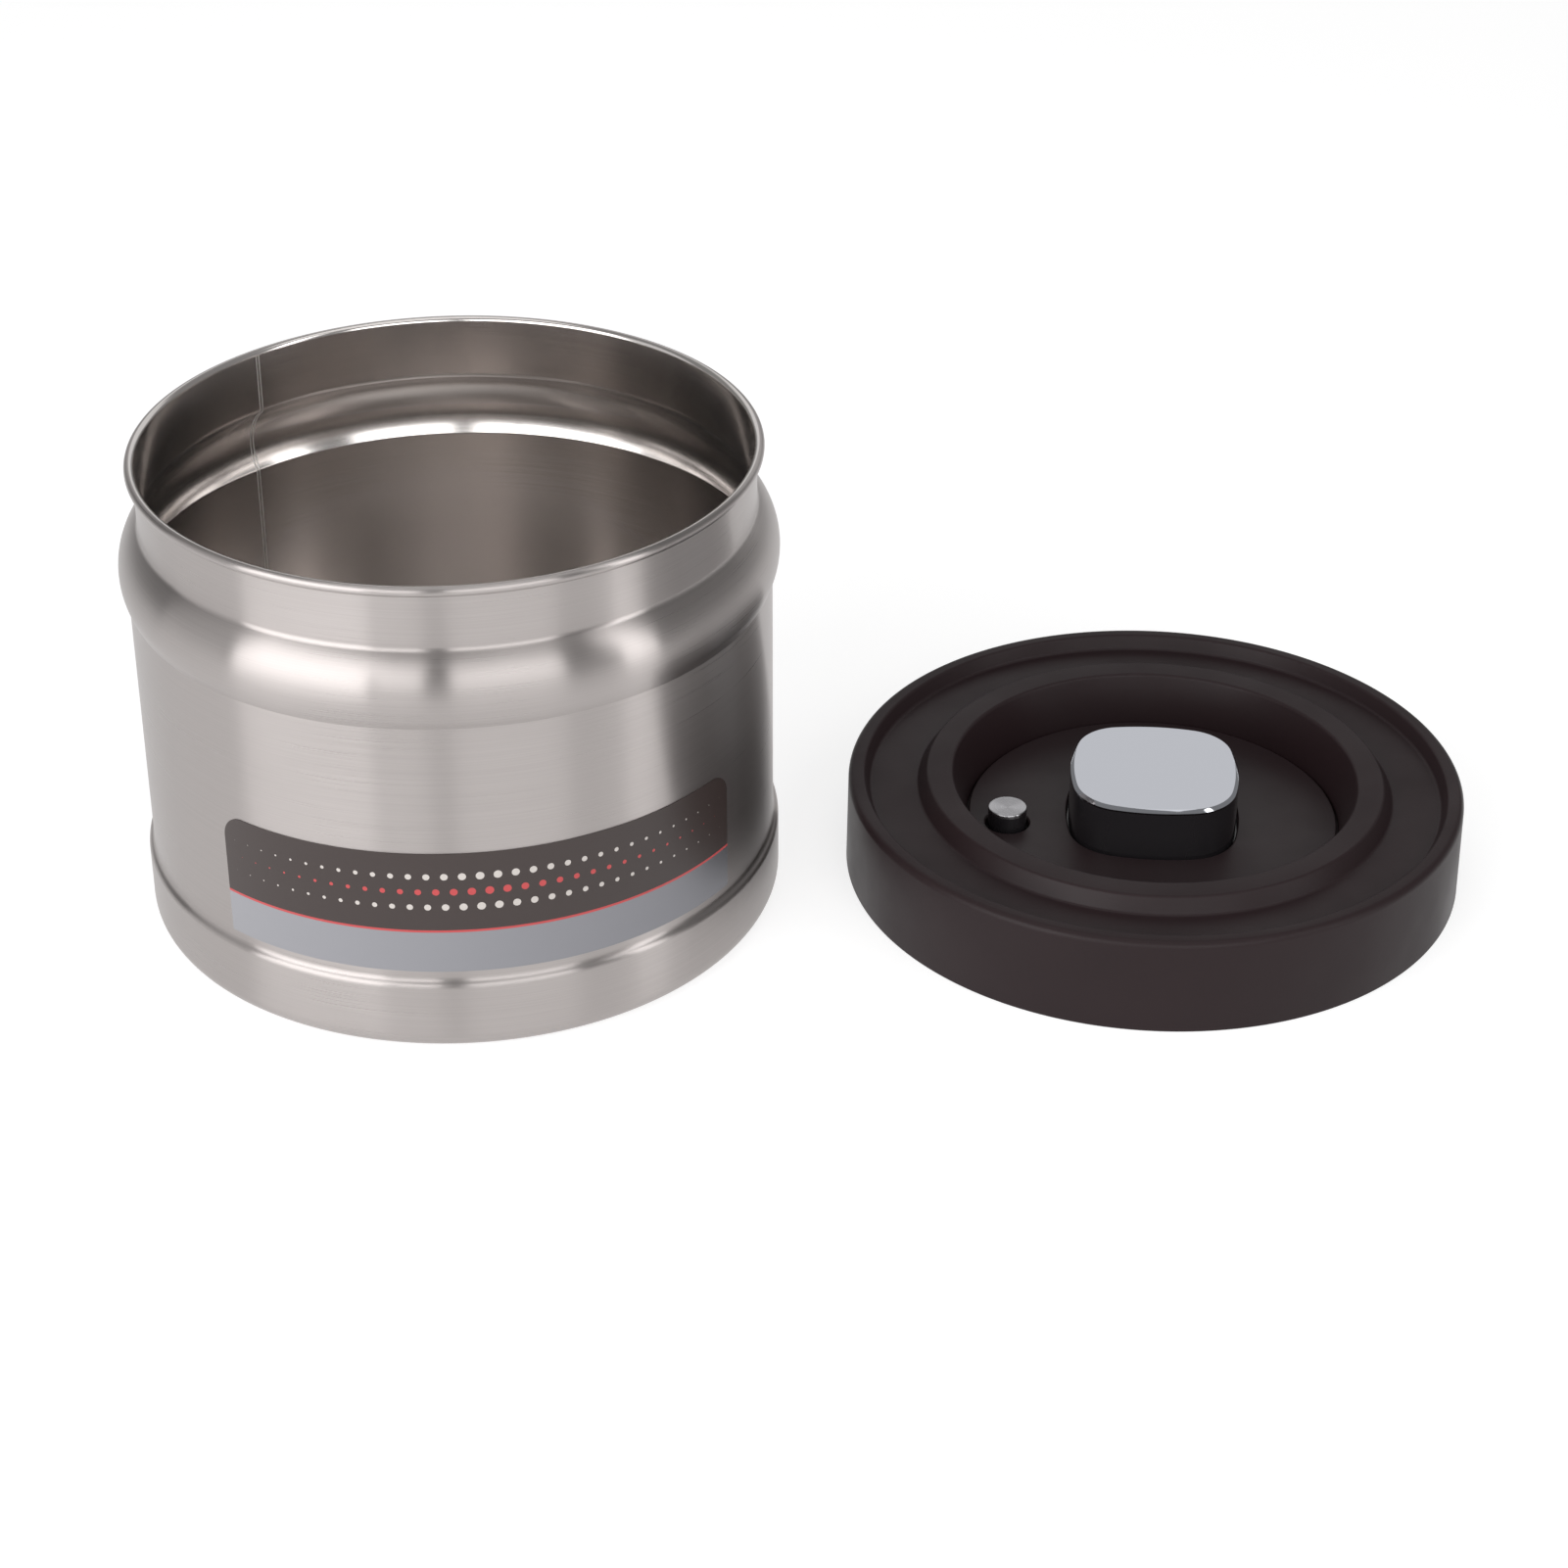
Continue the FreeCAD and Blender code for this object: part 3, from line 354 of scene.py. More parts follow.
@dataclass(frozen=True)
class PrintedFilm(Finish):
    """A printed plastic film: a dark field with rows of dots, over a thin bright line and a silver strip.
    The strip is painted lighter at its left end and darker at its right, as painted light.

    The map gives the way along the wrap from its middle, and up from its lower edge, in metres.
    """

    field_colour: str
    line_colour: str
    dot_colour: str
    # The strip's silver at its left end and at its right: the left one painted lighter and the right one
    # darker, as painted light.
    silver: str
    silver_painted_shade: str
    line_height: float
    line_width: float
    half_width: float
    dot_pitch: float = 3.4 * MM
    dot_radius: float = 0.85 * MM
    dot_foot: float = 13.0 * MM
    dot_rows: int = 3
    strip_metal: float = 0.8
    roughness: float = 0.38
    grain: float = 0.7 * MM
    grain_depth: float = 0.02 * MM
    bump: float = 0.15

    def add_dots(
        self, tree: bpy.types.NodeTree, axes: bpy.types.Node
    ) -> tuple[bpy.types.NodeSocket, bpy.types.NodeSocket]:
        """Add rows of staggered dots, which shrink to nothing towards both ends of the film.

        Args:
            tree: the material's node tree.
            axes: the node that gives the way along and up the film.

        Returns:
            A socket that is one on a dot, and one that is one in the middle row.
        """
        lifted = add_node(
            tree, "ShaderNodeMath", {0: axes.outputs["Y"], 1: self.dot_foot}, operation="SUBTRACT"
        )
        row = add_node(tree, "ShaderNodeMath", {0: lifted.outputs[0], 1: self.dot_pitch}, operation="DIVIDE")
        number = add_node(tree, "ShaderNodeMath", {0: row.outputs[0]}, operation="FLOOR")
        stagger = add_node(tree, "ShaderNodeMath", {0: number.outputs[0], 1: 0.5}, operation="MULTIPLY")
        column = add_node(
            tree,
            "ShaderNodeMath",
            {0: axes.outputs["X"], 1: 1 / self.dot_pitch, 2: stagger.outputs[0]},
            operation="MULTIPLY_ADD",
        )
        cell = add_node(tree, "ShaderNodeCombineXYZ", {"X": column.outputs[0], "Y": row.outputs[0]})
        spot = add_node(tree, "ShaderNodeVectorMath", {0: cell.outputs[0]}, operation="FRACTION")
        offset = add_node(
            tree, "ShaderNodeVectorMath", {0: spot.outputs[0], 1: (0.5, 0.5, 0.0)}, operation="SUBTRACT"
        )
        away = add_node(tree, "ShaderNodeVectorMath", {0: offset.outputs[0]}, operation="LENGTH")
        along = add_node(tree, "ShaderNodeMath", {0: axes.outputs["X"]}, operation="ABSOLUTE")
        radius = add_node(
            tree,
            "ShaderNodeMapRange",
            {
                "Value": along.outputs[0],
                "From Max": self.half_width,
                "To Min": self.dot_radius / self.dot_pitch,
                "To Max": 0.0,
            },
        )
        middle = self.dot_rows / 2
        on_dot = add_node(
            tree, "ShaderNodeMath", {0: away.outputs["Value"], 1: radius.outputs[0]}, operation="LESS_THAN"
        )
        in_rows = add_node(
            tree, "ShaderNodeMath", {0: row.outputs[0], 1: middle, 2: middle}, operation="COMPARE"
        )
        dot = add_node(
            tree, "ShaderNodeMath", {0: on_dot.outputs[0], 1: in_rows.outputs[0]}, operation="MULTIPLY"
        )
        middle_row = add_node(
            tree, "ShaderNodeMath", {0: row.outputs[0], 1: middle, 2: 0.5}, operation="COMPARE"
        )
        return dot.outputs[0], middle_row.outputs[0]

    def build(self) -> bpy.types.Material:
        """Make the material.

        Returns:
            The material.
        """
        material, tree, shader = self.start()
        spot = add_node(tree, "ShaderNodeUVMap", uv_map=UV_NAME)
        axes = add_node(tree, "ShaderNodeSeparateXYZ", {"Vector": spot.outputs[0]})
        # Painted light: the silver strip fades from lighter at its left end to darker at its right, a
        # painted reflection of the lamp on the left.
        shade = add_node(
            tree,
            "ShaderNodeMapRange",
            {"Value": axes.outputs["X"], "From Min": -self.half_width, "From Max": self.half_width},
        )
        silver = add_node(
            tree,
            "ShaderNodeMix",
            {"Factor": shade.outputs[0], "A": linear(self.silver), "B": linear(self.silver_painted_shade)},
            data_type="RGBA",
        )
        above_line = add_node(
            tree, "ShaderNodeMath", {0: axes.outputs["Y"], 1: self.line_height}, operation="GREATER_THAN"
        )
        above_field = add_node(
            tree,
            "ShaderNodeMath",
            {0: axes.outputs["Y"], 1: self.line_height + self.line_width},
            operation="GREATER_THAN",
        )
        lined = add_node(
            tree,
            "ShaderNodeMix",
            {"Factor": above_line.outputs[0], "A": silver.outputs[2], "B": linear(self.line_colour)},
            data_type="RGBA",
        )
        dot, middle_row = self.add_dots(tree, axes)
        ink = add_node(
            tree,
            "ShaderNodeMix",
            {"Factor": middle_row, "A": linear(self.dot_colour), "B": linear(self.line_colour)},
            data_type="RGBA",
        )
        dotted = add_node(
            tree,
            "ShaderNodeMix",
            {"Factor": dot, "A": linear(self.field_colour), "B": ink.outputs[2]},
            data_type="RGBA",
        )
        printed = add_node(
            tree,
            "ShaderNodeMix",
            {"Factor": above_field.outputs[0], "A": lined.outputs[2], "B": dotted.outputs[2]},
            data_type="RGBA",
        )
        metal = add_node(
            tree,
            "ShaderNodeMath",
            {0: self.strip_metal, 1: above_line.outputs[0]},
            operation="SUBTRACT",
            use_clamp=True,
        )
        grain = add_node(
            tree, "ShaderNodeTexNoise", {"Vector": spot.outputs[0], "Scale": 1 / self.grain, "Detail": 2.0}
        )
        bump = add_node(
            tree,
            "ShaderNodeBump",
            {"Height": grain.outputs["Fac"], "Strength": self.bump, "Distance": self.grain_depth},
        )
        tree.links.new(printed.outputs[2], shader.inputs["Base Color"])
        tree.links.new(metal.outputs[0], shader.inputs["Metallic"])
        tree.links.new(bump.outputs[0], shader.inputs["Normal"])
        shader.inputs["Roughness"].default_value = self.roughness
        return material


@dataclass(frozen=True)
class Silicone(Finish):
    """Moulded silicone rubber: pale, soft and a little see-through at its thin edges."""

    colour: str
    smoothest: float = 0.35
    roughest: float = 0.55
    dust: float = 3 * MM
    glow: float = 0.2
    glow_depth: float = 1 * MM

    def build(self) -> bpy.types.Material:
        """Make the material.

        Returns:
            The material.
        """
        material, tree, shader = self.start()
        spot = add_node(tree, "ShaderNodeTexCoord")
        dust = add_node(
            tree,
            "ShaderNodeTexNoise",
            {"Vector": spot.outputs["Object"], "Scale": 1 / self.dust, "Detail": 3.0},
        )
        rough = add_node(
            tree,
            "ShaderNodeMapRange",
            {"Value": dust.outputs["Fac"], "To Min": self.smoothest, "To Max": self.roughest},
        )
        tree.links.new(rough.outputs[0], shader.inputs["Roughness"])
        shader.inputs["Base Color"].default_value = linear(self.colour)
        shader.inputs["Subsurface Weight"].default_value = self.glow
        shader.inputs["Subsurface Scale"].default_value = self.glow_depth
        return material


# Stainless sheet, brushed round the body: the lines draw each highlight out into an upright band.
# Real brush lines are a few hundredths of a millimetre wide, too fine to show, so these are coarser.
STAINLESS = WorkedMetal(
    name="brushed stainless steel",
    light="#B2ACAA",
    dark="#A6A09E",
    smoothest=0.26,
    roughest=0.33,
    line_width=0.25 * MM,
    line_length=60 * MM,
    anisotropy=1.0,
    depth=0.002 * MM,
)
# The inner face of the same sheet, smooth and bright as it left the rolls: it mirrors the wall across from
# it. Its colour is also painted much paler than the outer face's: painted light for the dim inside.
# The lines of the rolls are as coarse as the brushed ones, so that they show.
STAINLESS_INSIDE_PAINTED_LIGHT = WorkedMetal(
    name="rolled stainless steel with painted light",
    light="#DED9D6",
    dark="#D6D1CE",
    smoothest=0.15,
    roughest=0.23,
    line_width=0.25 * MM,
    line_length=60 * MM,
    anisotropy=0.5,
    depth=0.002 * MM,
)
# Stainless sheet from a press: its stretched grain makes the base duller than the wall.
STAINLESS_DISC = WorkedMetal(
    name="pressed stainless steel",
    light="#DED9D6",
    dark="#D2CDCA",
    smoothest=0.32,
    roughest=0.4,
    line_width=0.3 * MM,
    line_length=40 * MM,
    anisotropy=0.5,
    depth=0.004 * MM,
)
# A weld in the same steel, rubbed down: it is duller than the sheet, and its colour is painted a little
# paler than the inner face as a painted highlight, so it shows as a pale line.
WELD = WorkedMetal(
    name="rubbed steel weld",
    light="#E6E3E0",
    dark="#D6D2CF",
    smoothest=0.4,
    roughest=0.5,
    line_width=0.4 * MM,
    line_length=6 * MM,
    anisotropy=0.0,
    depth=0.01 * MM,
    scratch=Scratch.ALONG,
)
# Aluminium faced on a lathe: the rings round its middle throw a bright fan across it.
# They are about twice as wide as the tool leaves them, so that they show.
FACED_ALUMINIUM = WorkedMetal(
    name="turned aluminium",
    light="#C2C1C3",
    dark="#AAA9AC",
    smoothest=0.22,
    roughest=0.3,
    line_width=0.22 * MM,
    line_length=30 * MM,
    anisotropy=0.85,
    depth=0.01 * MM,
)
# Drawn steel wire: the die leaves lines along it and a grey sheen.
WIRE = WorkedMetal(
    name="drawn steel wire",
    light="#B9B7B5",
    dark="#A3A09E",
    smoothest=0.25,
    roughest=0.35,
    line_width=0.2 * MM,
    line_length=8 * MM,
    anisotropy=0.3,
    depth=0.01 * MM,
    scratch=Scratch.ALONG,
)
# Zinc plating on steel screws: pale and slightly clouded, with no brushing.
ZINC = WorkedMetal(
    name="zinc plated steel",
    light="#C4C4C6",
    dark="#ACADB0",
    smoothest=0.28,
    roughest=0.38,
    line_width=0.3 * MM,
    line_length=5 * MM,
    anisotropy=0.0,
    depth=0.01 * MM,
    scratch=Scratch.ALONG,
)
# Polypropylene from an etched mould: dark brown, with a soft sheen.
# Etched grain is about a tenth of a millimetre across, too fine to show, so it is drawn coarser.
COVER_PLASTIC = MouldedPlastic(
    name="moulded dark polypropylene",
    colour="#281C1E",
    cloud_colour="#22181A",
    roughness=0.44,
    grain=0.55 * MM,
    grain_depth=0.03 * MM,
    specular=0.22,
)
# The same plastic for the floor of the bowl: a little rougher, and a little brighter at low angles.
DECK_PLASTIC = replace(
    COVER_PLASTIC, name="moulded dark polypropylene deck", roughness=0.48, specular=0.36
)
# The same plastic for the plug, from a mould with a shallower, wider grain.
PLUG_PLASTIC = replace(
    COVER_PLASTIC,
    name="moulded dark polypropylene plug",
    roughness=0.45,
    grain=0.8 * MM,
    grain_depth=0.02 * MM,
    specular=0.4,
)
# ABS from a polished mould: deep black with clear reflections, and the slight ripple of a thick wall.
BUTTON_PLASTIC = MouldedPlastic(
    name="polished black ABS",
    colour="#232123",
    cloud_colour="#201E20",
    roughness=0.16,
    grain=2.5 * MM,
    grain_depth=0.01 * MM,
    roughness_swing=0.02,
)
# Nylon as it leaves the mould: milky white, with a dull sheen.
NYLON = MouldedPlastic(
    name="moulded white nylon",
    colour="#E2E0DA",
    cloud_colour="#DAD8D2",
    roughness=0.42,
    grain=1.0 * MM,
    grain_depth=0.02 * MM,
)
# Chrome plating on moulded ABS: a mirror, a little cold in colour, over the ripple of the moulding.
CHROME = ChromePlate(name="chrome plated ABS", colour="#C9CBD2", roughness=0.07, ripple_depth=0.02 * MM)
# Silicone rubber as it leaves the mould: milky and soft, and duller where dust clings to it.
SILICONE = Silicone(name="moulded silicone rubber", colour="#D9D8D3")


# Outlines and meshes


@dataclass(frozen=True)
class Corner:
    """A corner of a turned outline: its radius, its height, and how round it is."""

    radius: float
    height: float
    rounding: float = 0.0


def arc(centre: Point, radius: float, start: float, end: float, steps: int) -> list[Point]:
    """Points along an arc.

    Args:
        centre: the arc's middle.
        radius: its radius.
        start: the angle of its first point, in radians.
        end: the angle of its last point.
        steps: how many stretches it is cut into.

    Returns:
        The points, both ends among them.
    """
    angles = [start + (end - start) * i / steps for i in range(steps + 1)]
    return [(centre[0] + radius * math.cos(a), centre[1] + radius * math.sin(a)) for a in angles]


def level_circle(centre: Vector, radius: float, steps: int, start: float = 0.0) -> list[Vector]:
    """Points round a level circle.

    Args:
        centre: the circle's middle.
        radius: its radius.
        steps: how many points it has.
        start: the angle of its first point, in radians.

    Returns:
        The points, anticlockwise.
    """
    points = arc((0.0, 0.0), radius, start, start + FULL_TURN, steps)[:-1]
    return [centre + Vector((x, y, 0.0)) for x, y in points]


def rounded(corners: Sequence[Corner], steps: int = 8) -> list[Point]:
    """Round the corners of a closed outline.

    Args:
        corners: the outline's corners in order.
        steps: how many stretches each rounding is cut into.

    Returns:
        The outline's points.
    """
    points: list[Point] = []
    for i, corner in enumerate(corners):
        tip = Vector((corner.radius, corner.height))
        if not corner.rounding:
            points.append((tip.x, tip.y))
            continue
        before = corners[i - 1]
        after = corners[(i + 1) % len(corners)]
        back = (Vector((before.radius, before.height)) - tip).normalized()
        ahead = (Vector((after.radius, after.height)) - tip).normalized()
        half = back.angle(ahead) / 2
        centre = tip + (back + ahead).normalized() * (corner.rounding / math.sin(half))
        first = tip + back * (corner.rounding / math.tan(half)) - centre
        last = tip + ahead * (corner.rounding / math.tan(half)) - centre
        turn = first.angle_signed(last)
        start = math.atan2(first.y, first.x)
        points += arc((centre.x, centre.y), corner.rounding, start, start - turn, steps)
    return points


def squircle(half: float, side_arc: float, corner_arc: float, steps: int = 16) -> list[Point]:
    """A square with bowed sides and round corners.

    Args:
        half: half its width.
        side_arc: the radius of a side.
        corner_arc: the radius of a corner.
        steps: how many stretches each arc is cut into.

    Returns:
        Its points, anticlockwise about the origin.
    """
    offset = side_arc - half
    reach = side_arc - corner_arc
    middle = (math.sqrt(2 * reach**2 - offset**2) - offset) / 2
    spread = math.atan2(middle, middle + offset)
    points: list[Point] = []
    for quarter in range(4):
        turn = Matrix.Rotation(quarter * math.pi / 2, 2)
        side = arc((-offset, 0.0), side_arc, -spread, spread, steps)[:-1]
        corner = arc((middle, middle), corner_arc, spread, math.pi / 2 - spread, steps)[:-1]
        points += [tuple(turn @ Vector(p)) for p in side + corner]
    return points


def cross_points(reach: float, half_width: float) -> list[Point]:
    """Points round an upright cross, six to an arm, beginning beside the x axis.

    Args:
        reach: how far each arm goes out from the middle.
        half_width: half the width of an arm.

    Returns:
        The points in order.
    """
    halfway = (reach + half_width) / 2
    arm = [
        (reach, -half_width),
        (reach, 0.0),
        (reach, half_width),
        (halfway, half_width),
        (half_width, half_width),
        (half_width, halfway),
    ]
    turns = ((1, 0), (0, 1), (-1, 0), (0, -1))
    return [(x * cos - y * sin, x * sin + y * cos) for cos, sin in turns for x, y in arm]


def new_object(name: str, mesh: bpy.types.Mesh, finish: bpy.types.Material) -> bpy.types.Object:
    """Put a mesh into the scene with its finish.

    Args:
        name: the piece's name.
        mesh: its mesh, already in place.
        finish: its material.

    Returns:
        The piece.
    """
    piece = bpy.data.objects.new(name, mesh)
    bpy.context.scene.collection.objects.link(piece)
    mesh.materials.append(finish)
    return piece


def settle(mesh: bpy.types.Mesh, sharp: float = SHARP) -> None:
    """Point a closed mesh's faces outwards and smooth it, apart from its sharp edges.

    Args:
        mesh: the mesh.
        sharp: the angle past which an edge stays sharp, in degrees.
    """
    work = bmesh.new()
    work.from_mesh(mesh)
    bmesh.ops.recalc_face_normals(work, faces=work.faces)
    work.to_mesh(mesh)
    work.free()
    mesh.shade_smooth()
    mesh.set_sharp_from_angle(angle=math.radians(sharp))


def turned(
    name: str,
    outline: Sequence[Point],
    centre: Vector,
    finish: bpy.types.Material,
    segments: int,
    start: float = 0.0,
    map_radius: float = 60 * MM,
) -> bpy.types.Object:
    """Turn a closed outline about an upright axis.

    The piece's map runs round the axis first and along the outline second, both in metres.

    Args:
        name: the piece's name.
        outline: radius and height of each point. A point on the axis has radius zero.
        centre: where the axis stands.
        finish: the piece's material.
        segments: how many steps there are round the axis.
        start: the angle where the map begins, in radians.
        map_radius: the radius whose length round the axis the map shows true.

    Returns:
        The piece.
    """
    work = bmesh.new()
    wrap = work.loops.layers.uv.new(UV_NAME)
    rings: list[list[bmesh.types.BMVert]] = []
    for radius, height in outline:
        if radius < ON_AXIS:
            rings.append([work.verts.new((centre.x, centre.y, height))] * segments)
            continue
        angles = [start + FULL_TURN * j / segments for j in range(segments)]
        spots = [(centre.x + radius * math.cos(a), centre.y + radius * math.sin(a), height) for a in angles]
        rings.append([work.verts.new(spot) for spot in spots])
    length = 0.0
    count = len(outline)
    for i in range(count):
        k = (i + 1) % count
        step = math.dist(outline[i], outline[k])
        if outline[i][0] < ON_AXIS and outline[k][0] < ON_AXIS:
            continue
        for j in range(segments):
            m = (j + 1) % segments
            corners = [(i, j), (k, j), (k, m), (i, m)]
            verts = [rings[a][b] for a, b in corners]
            here = FULL_TURN * map_radius * j / segments
            there = FULL_TURN * map_radius * (j + 1) / segments
            spots = [(here, length), (here, length + step), (there, length + step), (there, length)]
            kept = [c for c in range(4) if verts[c] not in verts[:c]]
            face = work.faces.new([verts[c] for c in kept])
            for loop, c in zip(face.loops, kept):
                loop[wrap].uv = spots[c]
        length += step
    mesh = bpy.data.meshes.new(name)
    work.to_mesh(mesh)
    work.free()
    settle(mesh)
    return new_object(name, mesh, finish)


def stacked(
    name: str,
    loops: Sequence[Sequence[Vector]],
    finish: bpy.types.Material,
    sharp: float = SHARP,
) -> bpy.types.Object:
    """Skin a stack of like loops and close both its ends.

    Args:
        name: the piece's name.
        loops: the loops from one end to the other, each with the same count of points.
        finish: the piece's material.
        sharp: the angle past which an edge stays sharp, in degrees.

    Returns:
        The piece.
    """
    work = bmesh.new()
    rings = [[work.verts.new(p) for p in loop] for loop in loops]
    count = len(rings[0])
    for low, high in zip(rings, rings[1:]):
        for j in range(count):
            work.faces.new((low[j], low[(j + 1) % count], high[(j + 1) % count], high[j]))
    work.faces.new(rings[0])
    work.faces.new(rings[-1])
    mesh = bpy.data.meshes.new(name)
    work.to_mesh(mesh)
    work.free()
    settle(mesh, sharp)
    return new_object(name, mesh, finish)


def pierced_plate(
    name: str,
    loops: Sequence[Callable[[float], list[Vector]]],
    bottom: float,
    top: float,
    edge: float,
    finish: bpy.types.Material,
) -> bpy.types.Object:
    """A flat plate with openings, all of whose upper edges are broken by a small bevel.

    Args:
        name: the piece's name.
        loops: a function from an inset to the points, for the outer edge and for each opening.
        bottom: the plate's lower height.
        top: its upper height.
        edge: the bevel's size.
        finish: the piece's material.

    Returns:
        The piece.
    """
    work = bmesh.new()
    top_edges: list[bmesh.types.BMEdge] = []
    bottom_edges: list[bmesh.types.BMEdge] = []
    for loop in loops:
        rings = []
        for inset, height in ((edge, top), (0.0, top - edge), (0.0, bottom)):
            rings.append([work.verts.new((p.x, p.y, height)) for p in loop(inset)])
        count = len(rings[0])
        for high, low in zip(rings, rings[1:]):
            for j in range(count):
                work.faces.new((high[j], high[(j + 1) % count], low[(j + 1) % count], low[j]))
        top_edges += [work.edges.get((rings[0][j], rings[0][(j + 1) % count])) for j in range(count)]
        bottom_edges += [work.edges.get((rings[2][j], rings[2][(j + 1) % count])) for j in range(count)]
    bmesh.ops.triangle_fill(work, use_beauty=True, edges=top_edges, normal=(0, 0, 1))
    bmesh.ops.triangle_fill(work, use_beauty=True, edges=bottom_edges, normal=(0, 0, -1))
    mesh = bpy.data.meshes.new(name)
    work.to_mesh(mesh)
    work.free()
    settle(mesh)
    return new_object(name, mesh, finish)


# Geometry node trees


class NodeShape:
    """A piece made by a geometry node tree, turned into a plain mesh."""

    def __init__(self, name: str) -> None:
        """Start an empty tree with a geometry output."""
        self.name = name
        self.tree = bpy.data.node_groups.new(name, "GeometryNodeTree")
        self.tree.interface.new_socket("Geometry", in_out="INPUT", socket_type="NodeSocketGeometry")
        self.tree.interface.new_socket("Geometry", in_out="OUTPUT", socket_type="NodeSocketGeometry")
        self.values: dict[str, Any] = {}
        self.source = add_node(self.tree, "NodeGroupInput")

    def size(self, name: str, value: Any, kind: str = "NodeSocketFloat") -> bpy.types.NodeSocket:
        """Add a named input.

        Args:
            name: the input's name.
            value: what it is set to on the modifier.
            kind: the socket's type.

        Returns:
            The socket that carries it inside the tree.
        """
        socket = self.tree.interface.new_socket(name, in_out="INPUT", socket_type=kind)
        self.values[socket.identifier] = value
        return self.source.outputs[name]

    def bake(
        self, geometry: bpy.types.NodeSocket, finish: bpy.types.Material, base: bpy.types.Mesh | None = None
    ) -> bpy.types.Object:
        """End the tree, run it and keep its result as a plain mesh.

        Args:
            geometry: the tree's last geometry.
            finish: the piece's material.
            base: the mesh that the tree starts from, if it needs one.

        Returns:
            The piece.
        """
        real = add_node(self.tree, "GeometryNodeRealizeInstances", {"Geometry": geometry})
        smooth = add_node(self.tree, "GeometryNodeSetShadeSmooth", {"Geometry": real.outputs[0]})
        dressed = add_node(
            self.tree, "GeometryNodeSetMaterial", {"Geometry": smooth.outputs[0], "Material": finish}
        )
        add_node(self.tree, "NodeGroupOutput", {0: dressed.outputs[0]})
        holder = bpy.data.objects.new(self.name, base or bpy.data.meshes.new(f"{self.name}_start"))
        bpy.context.scene.collection.objects.link(holder)
        modifier = holder.modifiers.new("shape", "NODES")
        modifier.node_group = self.tree
        for identifier, value in self.values.items():
            modifier[identifier] = value
        graph = bpy.context.evaluated_depsgraph_get()
        mesh = bpy.data.meshes.new_from_object(holder.evaluated_get(graph))
        holder.modifiers.remove(modifier)
        holder.data = mesh
        return holder


def coil_spring(
    name: str,
    centre: Vector,
    radius: float,
    wire: float,
    turns: int,
    height: float,
    finish: bpy.types.Material,
) -> bpy.types.Object:
    """Wind a spring.

    Args:
        name: the piece's name.
        centre: the middle of the spring's lowest turn.
        radius: from the axis to the middle of the wire.
        wire: the wire's thickness.
        turns: how many times the wire goes round.
        height: from the middle of the wire at the bottom to the middle at the top.
        finish: the wire's material.

    Returns:
        The spring.
    """
    shape = NodeShape(name)
    spread = shape.size("Coil radius", radius)
    spiral = add_node(
        shape.tree,
        "GeometryNodeCurveSpiral",
        {
            "Resolution": COIL_STEPS,
            "Rotations": shape.size("Turns", float(turns)),
            "Start Radius": spread,
            "End Radius": spread,
            "Height": shape.size("Height", height),
        },
    )
    section = add_node(
        shape.tree,
        "GeometryNodeCurvePrimitiveCircle",
        {"Resolution": WIRE_STEPS, "Radius": shape.size("Wire radius", wire / 2)},
    )
    tube = add_node(
        shape.tree,
        "GeometryNodeCurveToMesh",
        {"Curve": spiral.outputs[0], "Profile Curve": section.outputs[0], "Fill Caps": True},
    )
    place = shape.size("Place", tuple(centre), "NodeSocketVector")
    moved = add_node(
        shape.tree, "GeometryNodeTransform", {"Geometry": tube.outputs[0], "Translation": place}
    )
    return shape.bake(moved.outputs[0], finish)


def seam_bead(
    name: str, paths: Sequence[Sequence[Vector]], radius: float, finish: bpy.types.Material
) -> bpy.types.Object:
    """Run a thin bead along each of several paths.

    Args:
        name: the piece's name.
        paths: the points of each path.
        radius: the bead's radius.
        finish: the bead's material.

    Returns:
        The beads as one piece.
    """
    base = bpy.data.meshes.new(f"{name}_path")
    points = [p for path in paths for p in path]
    edges: list[tuple[int, int]] = []
    first = 0
    for path in paths:
        edges += [(first + i, first + i + 1) for i in range(len(path) - 1)]
        first += len(path)
    base.from_pydata(points, edges, [])
    shape = NodeShape(name)
    line = add_node(shape.tree, "GeometryNodeMeshToCurve", {"Mesh": shape.source.outputs["Geometry"]})
    section = add_node(
        shape.tree,
        "GeometryNodeCurvePrimitiveCircle",
        {"Resolution": BEAD_STEPS, "Radius": shape.size("Bead radius", radius)},
    )
    tube = add_node(
        shape.tree,
        "GeometryNodeCurveToMesh",
        {"Curve": line.outputs[0], "Profile Curve": section.outputs[0], "Fill Caps": True},
    )
    return shape.bake(tube.outputs[0], finish, base)


